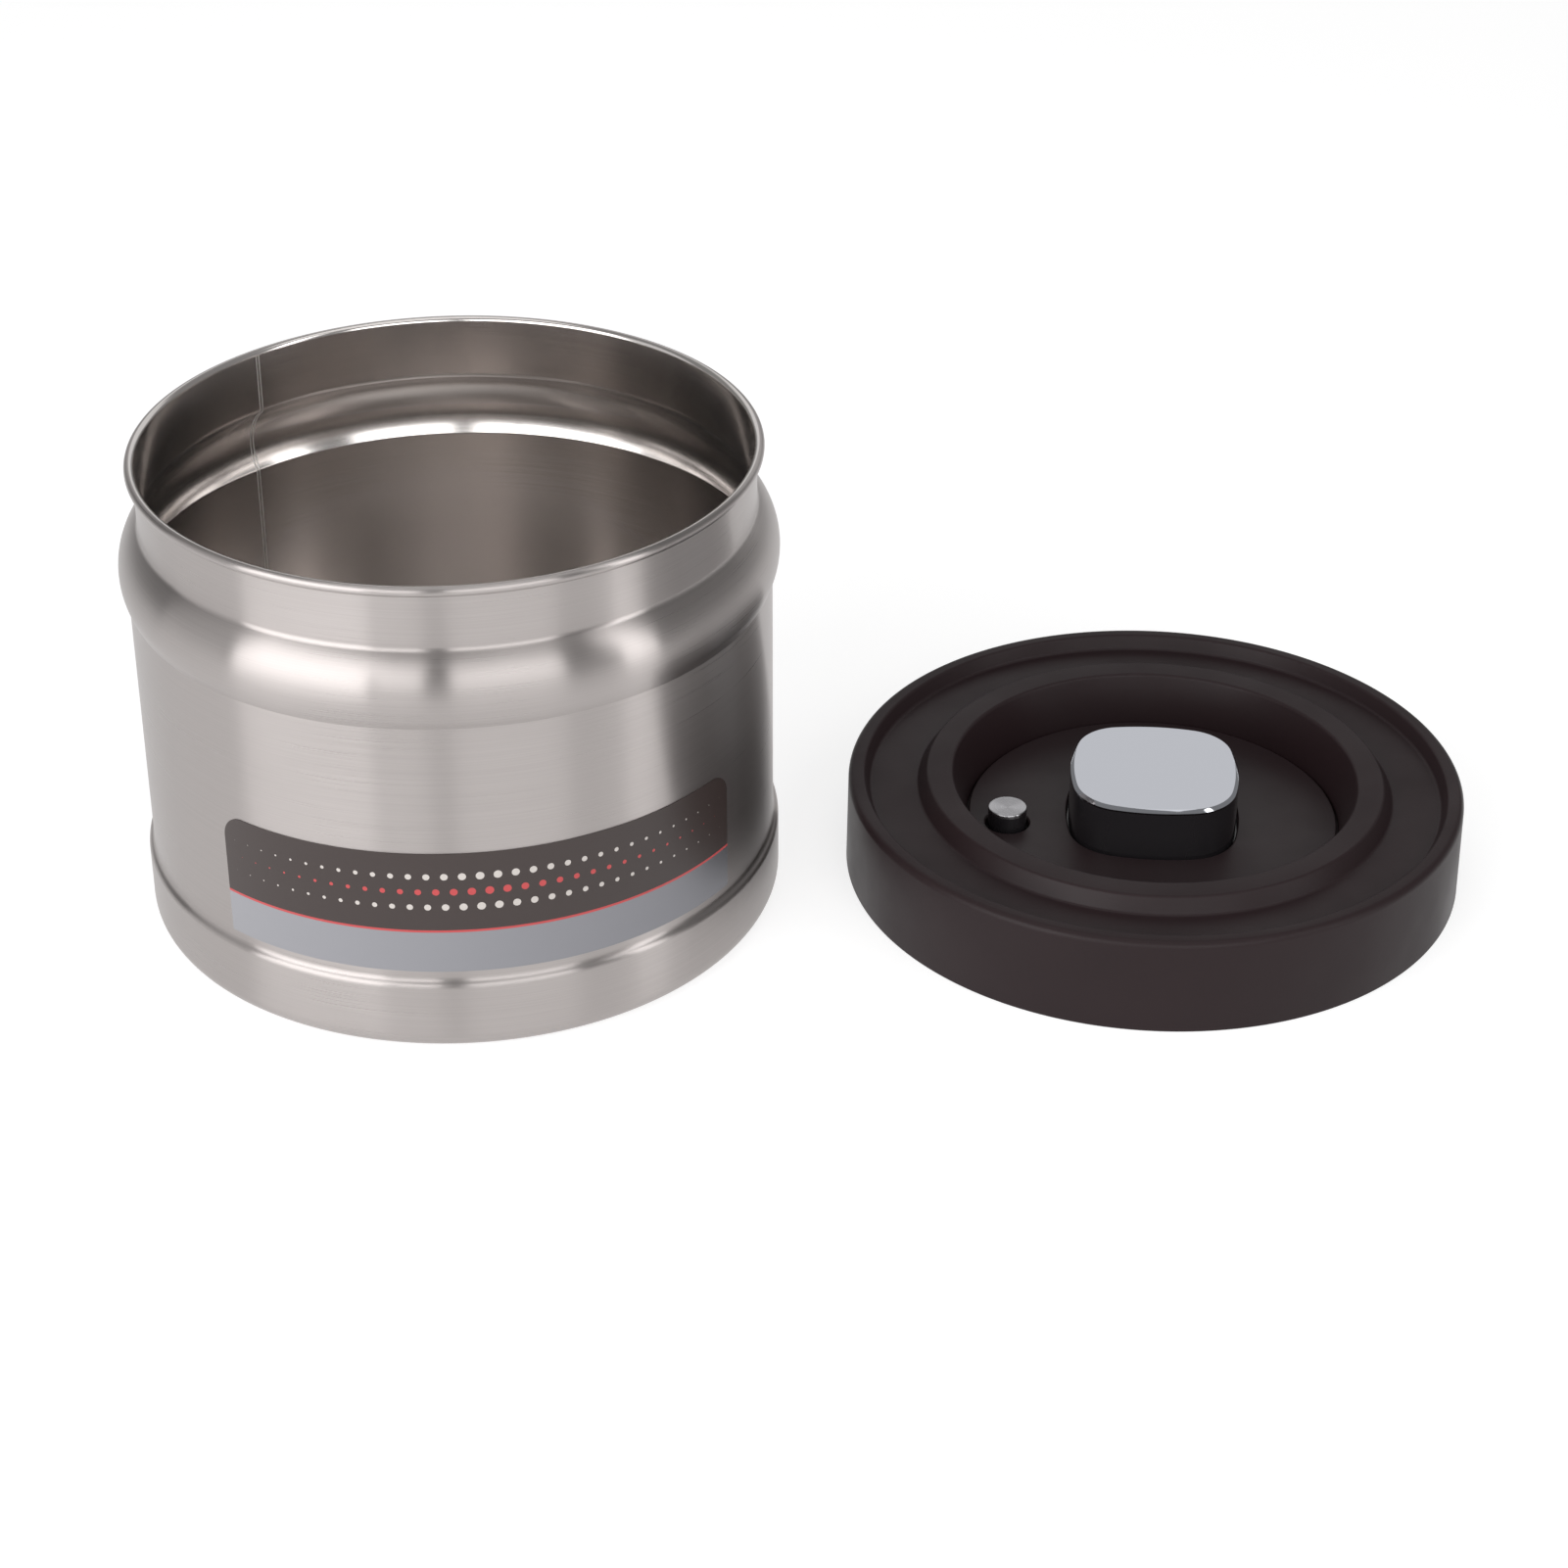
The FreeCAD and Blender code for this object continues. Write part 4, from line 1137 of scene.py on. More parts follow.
def ring_of(
    name: str,
    pattern: bpy.types.Object,
    rings: Sequence[tuple[float, int]],
    centre: Vector,
    turn: float,
    finish: bpy.types.Material,
) -> bpy.types.Object:
    """Set copies of a small piece evenly on circles.

    Args:
        name: the piece's name.
        pattern: the small piece, standing on the origin. It is deleted.
        rings: the radius of each circle, and how many copies stand on it.
        centre: the middle of the circles.
        turn: the angle of the first copy on each circle, in radians.
        finish: the material of the copies.

    Returns:
        The copies as one piece.
    """
    shape = NodeShape(name)
    copies = add_node(
        shape.tree,
        "GeometryNodeObjectInfo",
        {"Object": shape.size("Pattern", pattern, "NodeSocketObject")},
    )
    joined = add_node(shape.tree, "GeometryNodeJoinGeometry")
    for index, (radius, count) in enumerate(rings):
        circle = add_node(
            shape.tree,
            "GeometryNodeMeshCircle",
            {
                "Vertices": shape.size(f"Count {index}", count, "NodeSocketInt"),
                "Radius": shape.size(f"Reach {index}", radius),
            },
        )
        stood = add_node(
            shape.tree,
            "GeometryNodeInstanceOnPoints",
            {"Points": circle.outputs[0], "Instance": copies.outputs["Geometry"]},
        )
        shape.tree.links.new(stood.outputs[0], joined.inputs[0])
    moved = add_node(
        shape.tree,
        "GeometryNodeTransform",
        {
            "Geometry": joined.outputs[0],
            "Translation": shape.size("Place", tuple(centre), "NodeSocketVector"),
            "Rotation": (0.0, 0.0, turn),
        },
    )
    piece = shape.bake(moved.outputs[0], finish)
    bpy.data.objects.remove(pattern)
    return piece


def carry(piece: bpy.types.Object, body: str, slot: str, *nodes: str) -> None:
    """Make a piece ride on a body in place of the nodes that it stands for.

    Args:
        piece: the piece.
        body: the body that carries it.
        slot: the record's material slot of its finish; not used.
        nodes: the nodes that it replaces.
    """
    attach(piece, body)
    if nodes:
        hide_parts(*nodes)
    LOG.info("%s rides on %s, %d faces", piece.name, body, len(piece.data.polygons))


def middle_of(node: str) -> Vector:
    """The middle of a node's box."""
    low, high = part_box(node)
    return (low + high) / 2


# The canister


@dataclass(frozen=True)
class Bend:
    """A bend of the sheet: the arc that its outer face follows, and which way it bows."""

    centre: Point
    radius: float
    start: float
    end: float
    bow: Bow
    steps: int

    def points(self, inset: float) -> list[Point]:
        """Points along the face that lies this far inside the outer one."""
        return arc(self.centre, self.radius + inset * self.bow.value, self.start, self.end, self.steps)


@dataclass
class Canister:
    """The steel canister: its sheet, its base and its label."""

    sheet: float = 0.5 * MM
    height: float = 100.0 * MM
    rim_radius: float = 62.5 * MM
    curl: float = 1.0 * MM
    shoulder_radius: float = 65.5 * MM
    shoulder_height: float = 77.4 * MM
    shoulder_arc: float = 11.8 * MM
    neck_fillet: float = 1.5 * MM
    crease_fillet: float = 0.6 * MM
    body_radius: float = 64.0 * MM
    band_radius: float = 65.1 * MM
    band_height: float = 14.4 * MM
    step_fillet: float = 1.6 * MM
    foot_corner: float = 4.0 * MM
    foot_flange: float = 2.0 * MM
    base_rise: float = 2.2 * MM
    base_rise_run: float = 2.6 * MM
    base_rim_run: float = 3.0 * MM
    base_rounding: float = 0.8 * MM
    base_clearance: float = 0.1 * MM
    seam_angle: float = math.radians(135)
    seam_gap: float = 0.7 * MM
    seam_bead: float = 0.22 * MM
    seam_proud: float = 0.07 * MM
    label_clearance: float = 0.02 * MM
    label_thickness: float = 0.12 * MM
    label_angle: float = math.radians(99.2)
    label_turn: float = math.radians(9.5)
    label_corner: float = 5.0 * MM
    label_columns: int = 160
    label_rows: int = 24
    label_line_height: float = 9.0 * MM
    label_line_width: float = 0.5 * MM
    fillet_steps: int = 8
    shoulder_steps: int = 40
    step_steps: int = 10
    foot_steps: int = 16
    curl_steps: int = 36

    def sheet_points(self, inset: float) -> list[Point]:
        """One face of the sheet, from under the curl down to the foot's flange.

        Args:
            inset: how far the face lies inside the sheet's outer face.

        Returns:
            Radius and height of its points.
        """
        neck = self.rim_radius - 2 * self.curl + self.sheet
        shoulder = (self.shoulder_radius - self.shoulder_arc, self.shoulder_height)
        neck_run = neck + self.neck_fillet - shoulder[0]
        neck_rise = math.sqrt((self.shoulder_arc + self.neck_fillet) ** 2 - neck_run**2)
        crease_run = self.body_radius + self.crease_fillet - shoulder[0]
        crease_drop = math.sqrt((self.shoulder_arc + self.crease_fillet) ** 2 - crease_run**2)
        step = self.band_radius - self.body_radius
        step_height = math.sqrt((2 * self.step_fillet) ** 2 - (2 * self.step_fillet - step) ** 2)
        neck_turn = math.atan2(neck_rise, neck_run)
        crease_turn = math.atan2(crease_drop, crease_run)
        step_turn = math.atan2(step_height, 2 * self.step_fillet - step)
        bends = (
            Bend(
                (neck + self.neck_fillet, shoulder[1] + neck_rise),
                self.neck_fillet,
                math.pi,
                math.pi + neck_turn,
                Bow.HOLLOW,
                self.fillet_steps,
            ),
            Bend(shoulder, self.shoulder_arc, neck_turn, -crease_turn, Bow.OUT, self.shoulder_steps),
            Bend(
                (self.body_radius + self.crease_fillet, shoulder[1] - crease_drop),
                self.crease_fillet,
                math.pi - crease_turn,
                math.pi,
                Bow.HOLLOW,
                self.fillet_steps,
            ),
            Bend(
                (self.body_radius + self.step_fillet, self.band_height + step_height),
                self.step_fillet,
                math.pi,
                math.pi + step_turn,
                Bow.HOLLOW,
                self.step_steps,
            ),
            Bend(
                (self.band_radius - self.step_fillet, self.band_height),
                self.step_fillet,
                step_turn,
                0.0,
                Bow.OUT,
                self.step_steps,
            ),
            Bend(
                (self.band_radius - self.foot_corner, self.foot_corner),
                self.foot_corner,
                0.0,
                -math.pi / 2,
                Bow.OUT,
                self.foot_steps,
            ),
        )
        points: list[Point] = []
        for bend in bends:
            points += bend.points(inset)
        points.append((self.band_radius - self.foot_corner - self.foot_flange, inset))
        return points

    def curl_points(self, radius: float, start: float, end: float) -> list[Point]:
        """One face of the curled rim.

        Args:
            radius: the face's radius about the middle of the curl.
            start: its first angle, in radians.
            end: its last angle.

        Returns:
            Radius and height of its points.
        """
        middle = (self.rim_radius - self.curl, self.height - self.curl)
        return arc(middle, radius, start, end, self.curl_steps)

    def build_wall(self) -> None:
        """Turn the sheet, from the curl to the foot's flange, and run the weld down its inside."""
        under = self.curl_points(self.curl - self.sheet, -math.pi / 2, math.pi)
        over = self.curl_points(self.curl, math.pi, -math.pi / 2)
        inside = self.sheet_points(self.sheet)
        outline = under + self.sheet_points(0.0) + inside[::-1] + over
        wall = turned(
            "wall_sheet",
            outline,
            Vector(),
            STAINLESS.build(),
            LARGE_STEPS,
            self.seam_angle,
            self.body_radius,
        )
        # The inner faces take the inside finish, whose paler colour is painted light.
        wall.data.materials.append(STAINLESS_INSIDE_PAINTED_LIGHT.build())
        for face in wall.data.polygons:
            outward = face.normal.x * face.center.x + face.normal.y * face.center.y
            on_flange = face.normal.z > FACING_UP and face.center.z < self.foot_corner
            face.material_index = int(outward < 0 or on_flange)
        carry(wall, "canister", "canister_steel", "canister_wall")
        drop = self.seam_bead - self.seam_proud
        # The foot's bend has one point more than it has steps, and the flange has one.
        above_foot = inside[: -(self.foot_steps + 2)]
        line = [(self.rim_radius - 2 * self.curl, self.height - self.curl)] + above_foot
        paths = []
        for side in (-0.5, 0.5):
            turn = self.seam_angle + side * self.seam_gap / self.body_radius
            cos, sin = math.cos(turn), math.sin(turn)
            paths.append([Vector(((r + drop) * cos, (r + drop) * sin, z)) for r, z in line])
        seam = seam_bead("weld_seam", paths, self.seam_bead, WELD.build())
        carry(seam, "canister", "canister_steel")

    def build_base(self) -> None:
        """Turn the pressed base."""
        rim = self.band_radius - self.foot_corner - self.base_clearance
        foot = rim - self.base_rim_run
        head = foot - self.base_rise_run
        low = self.sheet
        high = self.sheet + self.base_rise
        outline = rounded(
            [
                Corner(0.0, high),
                Corner(head, high, self.base_rounding),
                Corner(foot, low, self.base_rounding + self.sheet),
                Corner(rim, low),
                Corner(rim, low + self.sheet),
                Corner(foot, low + self.sheet, self.base_rounding),
                Corner(head, high + self.sheet, self.base_rounding + self.sheet),
                Corner(0.0, high + self.sheet),
            ]
        )
        base = turned("base_disc", outline, Vector(), STAINLESS_DISC.build(), MIDDLE_STEPS)
        carry(base, "canister", "base_steel", "canister_base")

    def build_label(self) -> None:
        """Wrap the label round the lower front, with its two upper corners rounded."""
        low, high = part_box("label_band")
        radius = self.body_radius + self.label_clearance
        half = radius * self.label_angle / 2
        work = bmesh.new()
        wrap = work.loops.layers.uv.new(UV_NAME)
        skins = []
        for face_radius in (radius + self.label_thickness, radius):
            skin = []
            for i in range(self.label_columns + 1):
                along = half * math.sin(math.pi * (i / self.label_columns - 0.5))
                past = max(0.0, abs(along) - half + self.label_corner)
                top = high.z - self.label_corner + math.sqrt(max(self.label_corner**2 - past**2, 0.0))
                angle = along / radius + self.label_turn - math.pi / 2
                x, y = face_radius * math.cos(angle), face_radius * math.sin(angle)
                column = []
                for j in range(self.label_rows + 1):
                    z = low.z + (top - low.z) * j / self.label_rows
                    column.append((work.verts.new((x, y, z)), (along, z - low.z)))
                skin.append(column)
            skins.append(skin)

        def add_face(corners: Sequence[tuple[bmesh.types.BMVert, Point]]) -> None:
            """Add a face and its map."""
            face = work.faces.new([vert for vert, _ in corners])
            for loop, (_, spot) in zip(face.loops, corners):
                loop[wrap].uv = spot

        for skin in skins:
            for left, right in zip(skin, skin[1:]):
                for j in range(self.label_rows):
                    add_face((left[j], right[j], right[j + 1], left[j + 1]))
        outer, inner = skins
        for end in (0, -1):
            for j in range(self.label_rows):
                add_face((outer[end][j], outer[end][j + 1], inner[end][j + 1], inner[end][j]))
        for j in (0, -1):
            for i in range(self.label_columns):
                add_face((outer[i][j], outer[i + 1][j], inner[i + 1][j], inner[i][j]))
        mesh = bpy.data.meshes.new("label_film")
        work.to_mesh(mesh)
        work.free()
        settle(mesh)
        # Polyester film printed on its back: flat colours under a smooth skin, over a strip of bare silver.
        # The silver is painted lighter on the left and darker on the right: a painted reflection of the
        # light on the left.
        film = PrintedFilm(
            name="printed polyester film",
            field_colour="#382E2C",
            line_colour="#C24B4D",
            dot_colour="#CFC8C3",
            silver="#A2A2A7",
            silver_painted_shade="#7E7E83",
            line_height=self.label_line_height,
            line_width=self.label_line_width,
            half_width=half,
        )
        label = new_object("label_film", mesh, film.build())
        carry(label, "canister", "label_film", "label_band")

    def build(self) -> None:
        """Build every piece of the canister."""
        self.build_wall()
        self.build_base()
        self.build_label()


# The lid


@dataclass
class Lid:
    """The lid's cover, deck, plug and what is inside it."""

    nodes: dict[str, bpy.types.Object]
    travel: dict[str, float]
    turn: float = math.radians(-5)
    radius: float = 64.2 * MM
    taper: float = 0.3 * MM
    skirt_wall: float = 1.3 * MM
    skirt_edge: float = 0.4 * MM
    lip_height: float = 20.5 * MM
    lip_rounding: float = 1.5 * MM
    lip_inner_radius: float = 60.6 * MM
    lip_run: float = 1.2 * MM
    lip_edge: float = 0.7 * MM
    channel_height: float = 17.5 * MM
    channel_fillet: float = 0.8 * MM
    wall: float = 1.8 * MM
    ring_foot_radius: float = 49.434 * MM
    ring_outer_radius: float = 47.434 * MM
    ring_inner_radius: float = 42.134 * MM
    ring_rounding: float = 0.8 * MM
    bowl_radius: float = 39.034 * MM
    ledge_width: float = 2.6 * MM
    ledge_wall: float = 1.6 * MM
    deck_gap: float = 0.5 * MM
    deck_edge: float = 0.3 * MM
    gasket_lip_wall: float = 0.9 * MM
    gasket_lip_drop: float = 0.7 * MM
    gasket_lip_edge: float = 0.225 * MM
    gasket_lip_tip: float = 0.18 * MM
    plug_radius: float = 59.3 * MM
    screw_reach: float = 52.2 * MM
    screw_count: int = 4
    piston_screw_reach: float = 7.268 * MM
    piston_screw_count: int = 3
    screw_radius: float = 1.35 * MM
    screw_head_radius: float = 2.8 * MM
    screw_head_height: float = 1.2 * MM
    screw_tip: float = 1.0 * MM
    slot_width: float = 0.7 * MM
    slot_reach: float = 1.5 * MM
    slot_depth: float = 0.6 * MM
    pump_spring_turns: int = 3
    pump_spring_wire: float = 0.9 * MM
    release_spring_turns: int = 5
    release_spring_wire: float = 0.4 * MM
    centre: Vector = field(init=False)

    def __post_init__(self) -> None:
        """Find the lid's axis in the frame."""
        self.centre = middle_of("lid_cover")
        self.centre.z = 0.0

    def build_cover(self) -> None:
        """Turn the moulded cover."""
        ring_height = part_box("lid_cover")[1].z
        deck_low, deck_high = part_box("pump_deck")
        skirt = self.radius - self.skirt_wall
        ledge = self.bowl_radius - self.ledge_width
        ledge_under = deck_low.z - self.ledge_wall
        under = self.channel_height - self.wall
        ring_under = ring_height - self.wall
        outline = rounded(
            [
                Corner(skirt, 0.0),
                Corner(self.radius, 0.0, self.skirt_edge),
                Corner(self.radius - self.taper, self.lip_height, self.lip_rounding),
                Corner(self.lip_inner_radius, self.lip_height, self.lip_edge),
                Corner(self.lip_inner_radius - self.lip_run, self.channel_height, self.channel_fillet),
                Corner(self.ring_foot_radius, self.channel_height, self.channel_fillet),
                Corner(self.ring_outer_radius, ring_height, self.ring_rounding),
                Corner(self.ring_inner_radius, ring_height, self.ring_rounding),
                Corner(self.bowl_radius, deck_high.z),
                Corner(self.bowl_radius, deck_low.z),
                Corner(ledge, deck_low.z),
                Corner(ledge, ledge_under),
                Corner(self.bowl_radius + self.wall, ledge_under),
                Corner(self.bowl_radius + self.wall, deck_high.z),
                Corner(self.ring_inner_radius + self.wall, ring_under, self.ring_rounding),
                Corner(self.ring_outer_radius - self.wall, ring_under, self.ring_rounding),
                Corner(self.ring_foot_radius - self.wall, under),
                Corner(skirt, under, self.channel_fillet),
            ]
        )
        cover = turned("lid_moulding", outline, self.centre, COVER_PLASTIC.build(), LARGE_STEPS)
        carry(cover, "lid", "cover_plastic", "lid_cover")

    def build_deck(self, button: PumpButton, valve: ReleaseValve) -> None:
        """Cut the deck, with the openings for the button and the release valve.

        Args:
            button: the button that passes through it.
            valve: the release valve that passes through it.
        """
        low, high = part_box("pump_deck")
        rim = self.bowl_radius - self.deck_gap

        def edge(inset: float) -> list[Vector]:
            """The deck's round outer edge."""
            return level_circle(self.centre, rim - inset, MIDDLE_STEPS)

        def valve_hole(inset: float) -> list[Vector]:
            """The valve's round opening."""
            return level_circle(valve.centre, valve.hole + inset, HOLE_STEPS)

        def button_hole(inset: float) -> list[Vector]:
            """The button's opening."""
            return button.plan(button.clearance + inset, 0.0)

        loops = (edge, valve_hole, button_hole)
        deck = pierced_plate("deck_plate", loops, low.z, high.z, self.deck_edge, DECK_PLASTIC.build())
        carry(deck, "lid", "deck_plastic", "pump_deck")

    def build_gasket(self) -> None:
        """Turn the soft ring with its two lips."""
        low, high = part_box("lid_gasket")
        tip = (high.x - low.x) / 2
        inner = self.plug_radius - (tip - self.plug_radius)
        lip = self.gasket_lip_wall
        drop = self.gasket_lip_drop
        edge = self.gasket_lip_edge
        middle = (low.z + high.z) / 2
        corners = [Corner(inner, low.z)]
        for foot in (low.z, middle):
            corners += [
                Corner(self.plug_radius, foot),
                Corner(tip, foot + drop, edge),
                Corner(tip, foot + drop + lip / 2, self.gasket_lip_tip),
                Corner(self.plug_radius, foot + lip, edge),
            ]
        corners += [Corner(self.plug_radius, high.z), Corner(inner, high.z)]
        ring = turned("gasket_ring", rounded(corners), self.centre, SILICONE.build(), MIDDLE_STEPS)
        carry(ring, "lid", "gasket_silicone", "lid_gasket")

    def build_screws(self) -> None:
        """Set the countersunk screws, each with a cross cut into its head."""
        low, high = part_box("lid_screws")
        head_top = low.z + self.screw_head_height
        outline = [
            (0.0, low.z + self.slot_depth),
            (self.slot_reach, low.z + self.slot_depth),
            (self.slot_reach, low.z),
            (self.screw_head_radius, low.z),
            (self.screw_radius, head_top),
            (self.screw_radius, high.z - self.screw_tip),
            (0.0, high.z),
        ]
        zinc = ZINC.build()
        cross = cross_points(self.slot_reach, self.slot_width / 2)
        pattern = turned("screw_pattern", outline, Vector(), zinc, len(cross), -FULL_TURN / len(cross))
        # After the middle of the recess come the ring of its floor and the ring of its edge.
        for corner, vertex in zip(cross + cross, pattern.data.vertices[1:]):
            vertex.co.xy = corner
        rings = ((self.screw_reach, self.screw_count), (self.piston_screw_reach, self.piston_screw_count))
        screws = ring_of("floor_screws", pattern, rings, self.centre, self.turn, zinc)
        carry(screws, "lid", "screw_steel", "lid_screws")

    def build_springs(self, valve: ReleaseValve) -> None:
        """Wind the two springs.

        Args:
            valve: the release valve that the small spring stands under.
        """
        self.build_spring(
            "button_spring",
            "pump_spring",
            "spring_steel",
            self.centre,
            self.pump_spring_wire,
            self.pump_spring_turns,
        )
        self.build_spring(
            "valve_spring",
            "release_spring",
            "release_spring_steel",
            valve.centre,
            self.release_spring_wire,
            self.release_spring_turns,
        )

    def build_spring(
        self, name: str, node: str, slot: str, axis: Vector, wire: float, turns: int
    ) -> None:
        """Wind one spring where its solid stands.

        Args:
            name: the piece's name.
            node: the node that it stands for.
            slot: the record's material slot of its wire.
            axis: the middle of its turns.
            wire: the wire's thickness.
            turns: how many times the wire goes round.
        """
        low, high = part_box(node)
        radius = (high.x - low.x - wire) / 2
        height = high.z - low.z
        foot = Vector((axis.x, axis.y, low.z + wire / 2))
        spring = coil_spring(name, foot, radius, wire, turns, height - wire, WIRE.build())
        carry(spring, "lid", slot, node)
        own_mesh(spring)

    def dress_inside(self) -> None:
        """Dress the pieces whose solids are kept."""
        finishes = {
            "lid_plug": PLUG_PLASTIC,
            "pump_piston": NYLON,
            "piston_seal": SILICONE,
            "intake_valve": SILICONE,
            "valve_stud": NYLON,
            "release_seal": SILICONE,
            "release_foot": NYLON,
        }
        for node, finish in finishes.items():
            slots = self.nodes[node].data.materials
            slots.clear()
            slots.append(finish.build())
            LOG.info("%s dressed in %s", node, finish.name)

    def build(self, button: PumpButton, valve: ReleaseValve) -> None:
        """Build every piece of the lid.

        Args:
            button: the pump's button.
            valve: the release valve.
        """
        self.build_cover()
        self.build_deck(button, valve)
        self.build_gasket()
        self.build_screws()
        self.build_springs(valve)
        self.dress_inside()


@dataclass
class PumpButton:
    """The push button: a gloss black body with a plated cap."""

    centre: Vector
    turn: float
    half: float = 17.533 * MM
    side_arc: float = 45.0 * MM
    corner_arc: float = 10.5 * MM
    clearance: float = 0.35 * MM
    flange_width: float = 1.2 * MM
    flange_wall: float = 1.0 * MM
    bevel: float = 0.7 * MM
    bevel_rounding: float = 0.15 * MM
    bore: float = 15.233 * MM
    bore_start: float = math.radians(-30)
    roof: float = 1.8 * MM
    cap_corner_share: float = 0.3
    cap_sharp: float = 20.0

    def plan(self, growth: float, height: float) -> list[Vector]:
        """The button's outline in place.

        Args:
            growth: how far it is grown all round.
            height: the height of its points.

        Returns:
            Its points.
        """
        turn = Matrix.Rotation(self.turn, 2)
        outline = squircle(self.half + growth, self.side_arc + growth, self.corner_arc + growth)
        points = [turn @ Vector(p) for p in outline]
        return [Vector((self.centre.x + p.x, self.centre.y + p.y, height)) for p in points]

    def bore_plan(self, height: float) -> list[Vector]:
        """The round bore, with as many points as the outline, so that a skin can join the two."""
        middle = Vector((self.centre.x, self.centre.y, height))
        return level_circle(middle, self.bore, len(self.plan(0.0, 0.0)), self.turn + self.bore_start)

    def build(self) -> None:
        """Build the body and the cap."""
        low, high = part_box("button_body")
        cap_low, cap_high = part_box("button_cap")
        ceiling = high.z - self.roof
        loops = [
            self.bore_plan(ceiling),
            self.bore_plan(low.z),
            self.plan(self.flange_width, low.z),
            self.plan(self.flange_width, low.z + self.flange_wall),
            self.plan(0.0, low.z + self.flange_wall),
            self.plan(0.0, high.z),
        ]
        body = stacked("button_block", loops, BUTTON_PLASTIC.build())
        carry(body, "button", "button_plastic", "button_body")
        small = self.bevel_rounding
        nip = small * self.cap_corner_share
        shoulder = cap_high.z - self.bevel
        cap_loops = [
            self.plan(0.0, cap_low.z),
            self.plan(0.0, shoulder - small),
            self.plan(-nip, shoulder + nip),
            self.plan(-self.bevel + small, cap_high.z - small),
            self.plan(-self.bevel - nip, cap_high.z),
        ]
        cap = stacked("button_plate", cap_loops, CHROME.build(), self.cap_sharp)
        carry(cap, "button", "button_chrome", "button_cap")


@dataclass
class ReleaseValve:
    """The release valve: a black pin with a turned metal cap."""

    centre: Vector = field(init=False)
    hole: float = 4.6 * MM
    head_radius: float = 4.05 * MM
    collar_wall: float = 1.0 * MM
    well_radius: float = 3.0 * MM
    well_depth: float = 4.0 * MM
    shank_radius: float = 1.6 * MM
    collar_gap: float = 0.2 * MM
    cap_edge: float = 0.3 * MM
    cap_dish: float = 0.3 * MM
    cap_rim: float = 0.8 * MM

    def __post_init__(self) -> None:
        """Find the valve's axis in the frame."""
        self.centre = middle_of("release_pin")
        self.centre.z = 0.0

    def build(self) -> None:
        """Turn the pin and its cap."""
        low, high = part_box("release_pin")
        collar_radius = (high.x - low.x) / 2
        collar_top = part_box("pump_deck")[0].z - self.collar_gap
        collar_under = collar_top - self.collar_wall
        well_top = collar_under + self.well_depth
        outline = [
            (0.0, low.z),
            (self.shank_radius, low.z),
            (self.shank_radius, well_top),
            (self.well_radius, well_top),
            (self.well_radius, collar_under),
            (collar_radius, collar_under),
            (collar_radius, collar_top),
            (self.head_radius, collar_top),
            (self.head_radius, high.z),
            (0.0, high.z),
        ]
        pin = turned("valve_pin", outline, self.centre, BUTTON_PLASTIC.build(), SMALL_STEPS)
        carry(pin, "release", "pin_plastic", "release_pin")
        cap_low, cap_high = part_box("release_cap")
        outline = rounded(
            [
                Corner(0.0, cap_low.z),
                Corner(self.head_radius, cap_low.z),
                Corner(self.head_radius, cap_high.z, self.cap_edge),
                Corner(self.head_radius - self.cap_rim, cap_high.z),
                Corner(0.0, cap_high.z - self.cap_dish),
            ]
        )
        metal = FACED_ALUMINIUM.build()
        cap = turned("valve_cap", outline, self.centre, metal, SMALL_STEPS, 0.0, self.head_radius)
        carry(cap, "release", "pin_metal", "release_cap")


# The studio


@dataclass(frozen=True)
class Softbox:
    """A soft light: where it hangs, how large it is, and how bright its face is, where one is white."""

    name: str
    place: tuple[float, float, float]
    aim: tuple[float, float, float]
    width: float
    height: float
    brightness: float

    def build(self) -> None:
        """Hang the light."""
        lamp = bpy.data.lights.new(self.name, "AREA")
        lamp.shape = "RECTANGLE"
        lamp.size = self.width
        lamp.size_y = self.height
        lamp.energy = self.brightness * math.pi * self.width * self.height
        holder = bpy.data.objects.new(self.name, lamp)
        holder.location = self.place
        holder.rotation_euler = (Vector(self.aim) - Vector(self.place)).to_track_quat("-Z", "Y").to_euler()
        bpy.context.scene.collection.objects.link(holder)


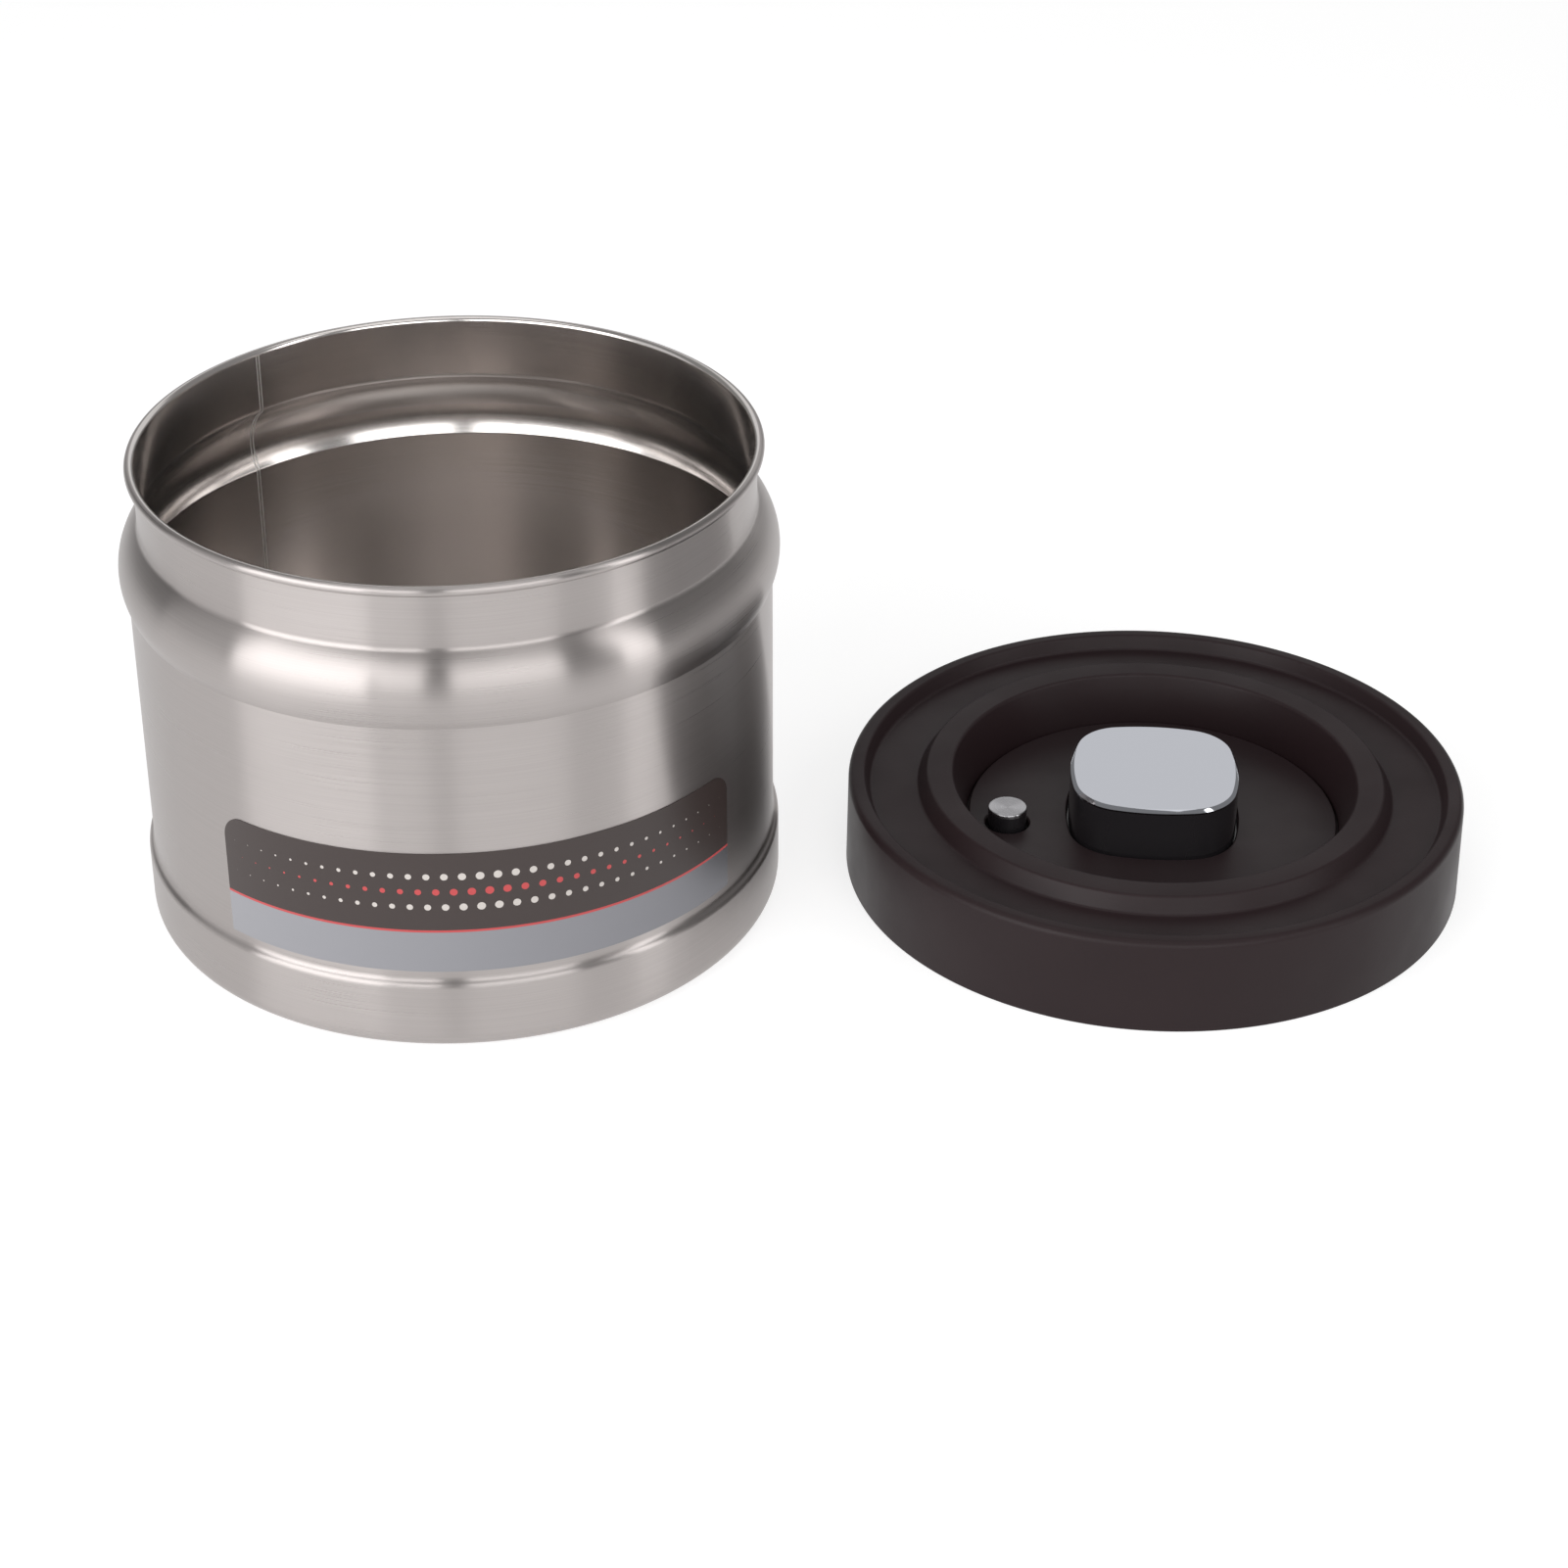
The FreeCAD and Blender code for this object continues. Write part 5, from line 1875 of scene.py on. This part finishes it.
@dataclass
class Studio:
    """The floor, the light and the camera, which stands where the photograph was taken from."""

    target: tuple[float, float, float] = (66.28 * MM, 0.0, 40.0 * MM)
    distance: float = 700 * MM
    pitch: float = math.radians(29.8)
    image_pixels: float = 1601.0
    focal_pixels: float = 3490.0
    axis_pixel_row: float = 721.0
    sensor: float = 36.0
    floor_half: float = 4.0
    floor_colour: str = "#B4B4B4"
    floor_lift: float = 0.7
    floor_roughness: float = 0.9
    floor_specular: float = 0.1
    sky: float = 0.26
    # Where each lamp hangs and what it is aimed at, in metres, then its width, height and brightness.
    lights: tuple[Softbox, ...] = (
        Softbox("side_softbox", (-0.92, -0.04, 0.52), (0.0, 0.0, 0.4), 0.5, 1.0, 0.45),
        Softbox("left_softbox", (-0.62, -0.6, 0.47), (0.0, 0.0, 0.36), 0.78, 0.9, 3.2),
        Softbox("middle_softbox", (-0.2, -0.88, 0.52), (0.0, 0.0, 0.4), 0.25, 0.64, 2.7),
        Softbox("front_softbox", (0.34, -0.83, 0.5), (0.02, 0.0, 0.4), 0.62, 0.64, 2.5),
        Softbox("right_softbox", (0.79, -0.34, 0.52), (0.03, 0.0, 0.4), 0.2, 1.0, 2.8),
        Softbox("back_softbox", (0.12, 1.1, 0.66), (0.12, 0.0, 0.0), 1.6, 0.5, 0.56),
        Softbox("top_softbox", (0.1, 0.05, 1.1), (0.07, 0.0, 0.0), 1.0, 0.8, 0.84),
    )

    def build_camera(self) -> None:
        """Stand the camera."""
        data = bpy.data.cameras.new("camera")
        data.sensor_width = self.sensor
        data.lens = self.sensor * self.focal_pixels / self.image_pixels
        data.shift_y = (self.axis_pixel_row - self.image_pixels / 2) / self.image_pixels
        camera = bpy.data.objects.new("camera", data)
        back = Vector((0, -math.cos(self.pitch), math.sin(self.pitch)))
        camera.location = Vector(self.target) + back * self.distance
        camera.rotation_euler = (-back).to_track_quat("-Z", "Y").to_euler()
        bpy.context.scene.collection.objects.link(camera)
        bpy.context.scene.camera = camera

    def build_floor(self) -> None:
        """Lay a pale floor that keeps the shadow and is lifted to white where the eye sees it."""
        material = bpy.data.materials.new("pale floor")
        material.use_nodes = True
        tree = material.node_tree
        shader = tree.nodes["Principled BSDF"]
        shader.inputs["Base Color"].default_value = linear(self.floor_colour)
        shader.inputs["Roughness"].default_value = self.floor_roughness
        shader.inputs["Specular IOR Level"].default_value = self.floor_specular
        rays = add_node(tree, "ShaderNodeLightPath")
        seen = rays.outputs["Is Camera Ray"]
        for ray in ("Is Glossy Ray", "Is Transmission Ray"):
            either = add_node(tree, "ShaderNodeMath", {0: seen, 1: rays.outputs[ray]}, operation="MAXIMUM")
            seen = either.outputs[0]
        lift = add_node(tree, "ShaderNodeMath", {0: seen, 1: self.floor_lift}, operation="MULTIPLY")
        tree.links.new(lift.outputs[0], shader.inputs["Emission Strength"])
        shader.inputs["Emission Color"].default_value = (1, 1, 1, 1)
        half = self.floor_half
        corners = [(-half, -half, 0), (half, -half, 0), (half, half, 0), (-half, half, 0)]
        mesh = bpy.data.meshes.new("floor")
        mesh.from_pydata(corners, [], [(0, 1, 2, 3)])
        floor = new_object("floor", mesh, material)

    def build_sky(self) -> None:
        """Light everything softly from all round."""
        world = bpy.data.worlds.new("studio")
        world.use_nodes = True
        shade = world.node_tree.nodes["Background"]
        shade.inputs["Color"].default_value = (1, 1, 1, 1)
        shade.inputs["Strength"].default_value = self.sky
        bpy.context.scene.world = world

    def build(self) -> None:
        """Build the studio."""
        self.build_camera()
        self.build_floor()
        self.build_sky()
        for light in self.lights:
            light.build()
        bpy.context.scene.view_settings.view_transform = "Standard"


def main() -> None:
    """Load the frame and build the looks round it."""
    logging.basicConfig(level=logging.INFO, format="%(name)s: %(message)s")
    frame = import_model()
    Canister().build()
    valve = ReleaseValve()
    joints = frame["record"]["behaviour"]["joints"]
    lid = Lid(frame["nodes"], {joint["name"]: joint["range_m"][1] for joint in joints})
    button = PumpButton(lid.centre, lid.turn)
    lid.build(button, valve)
    button.build()
    valve.build()
    Studio().build()


if __name__ == "__main__":
    main()
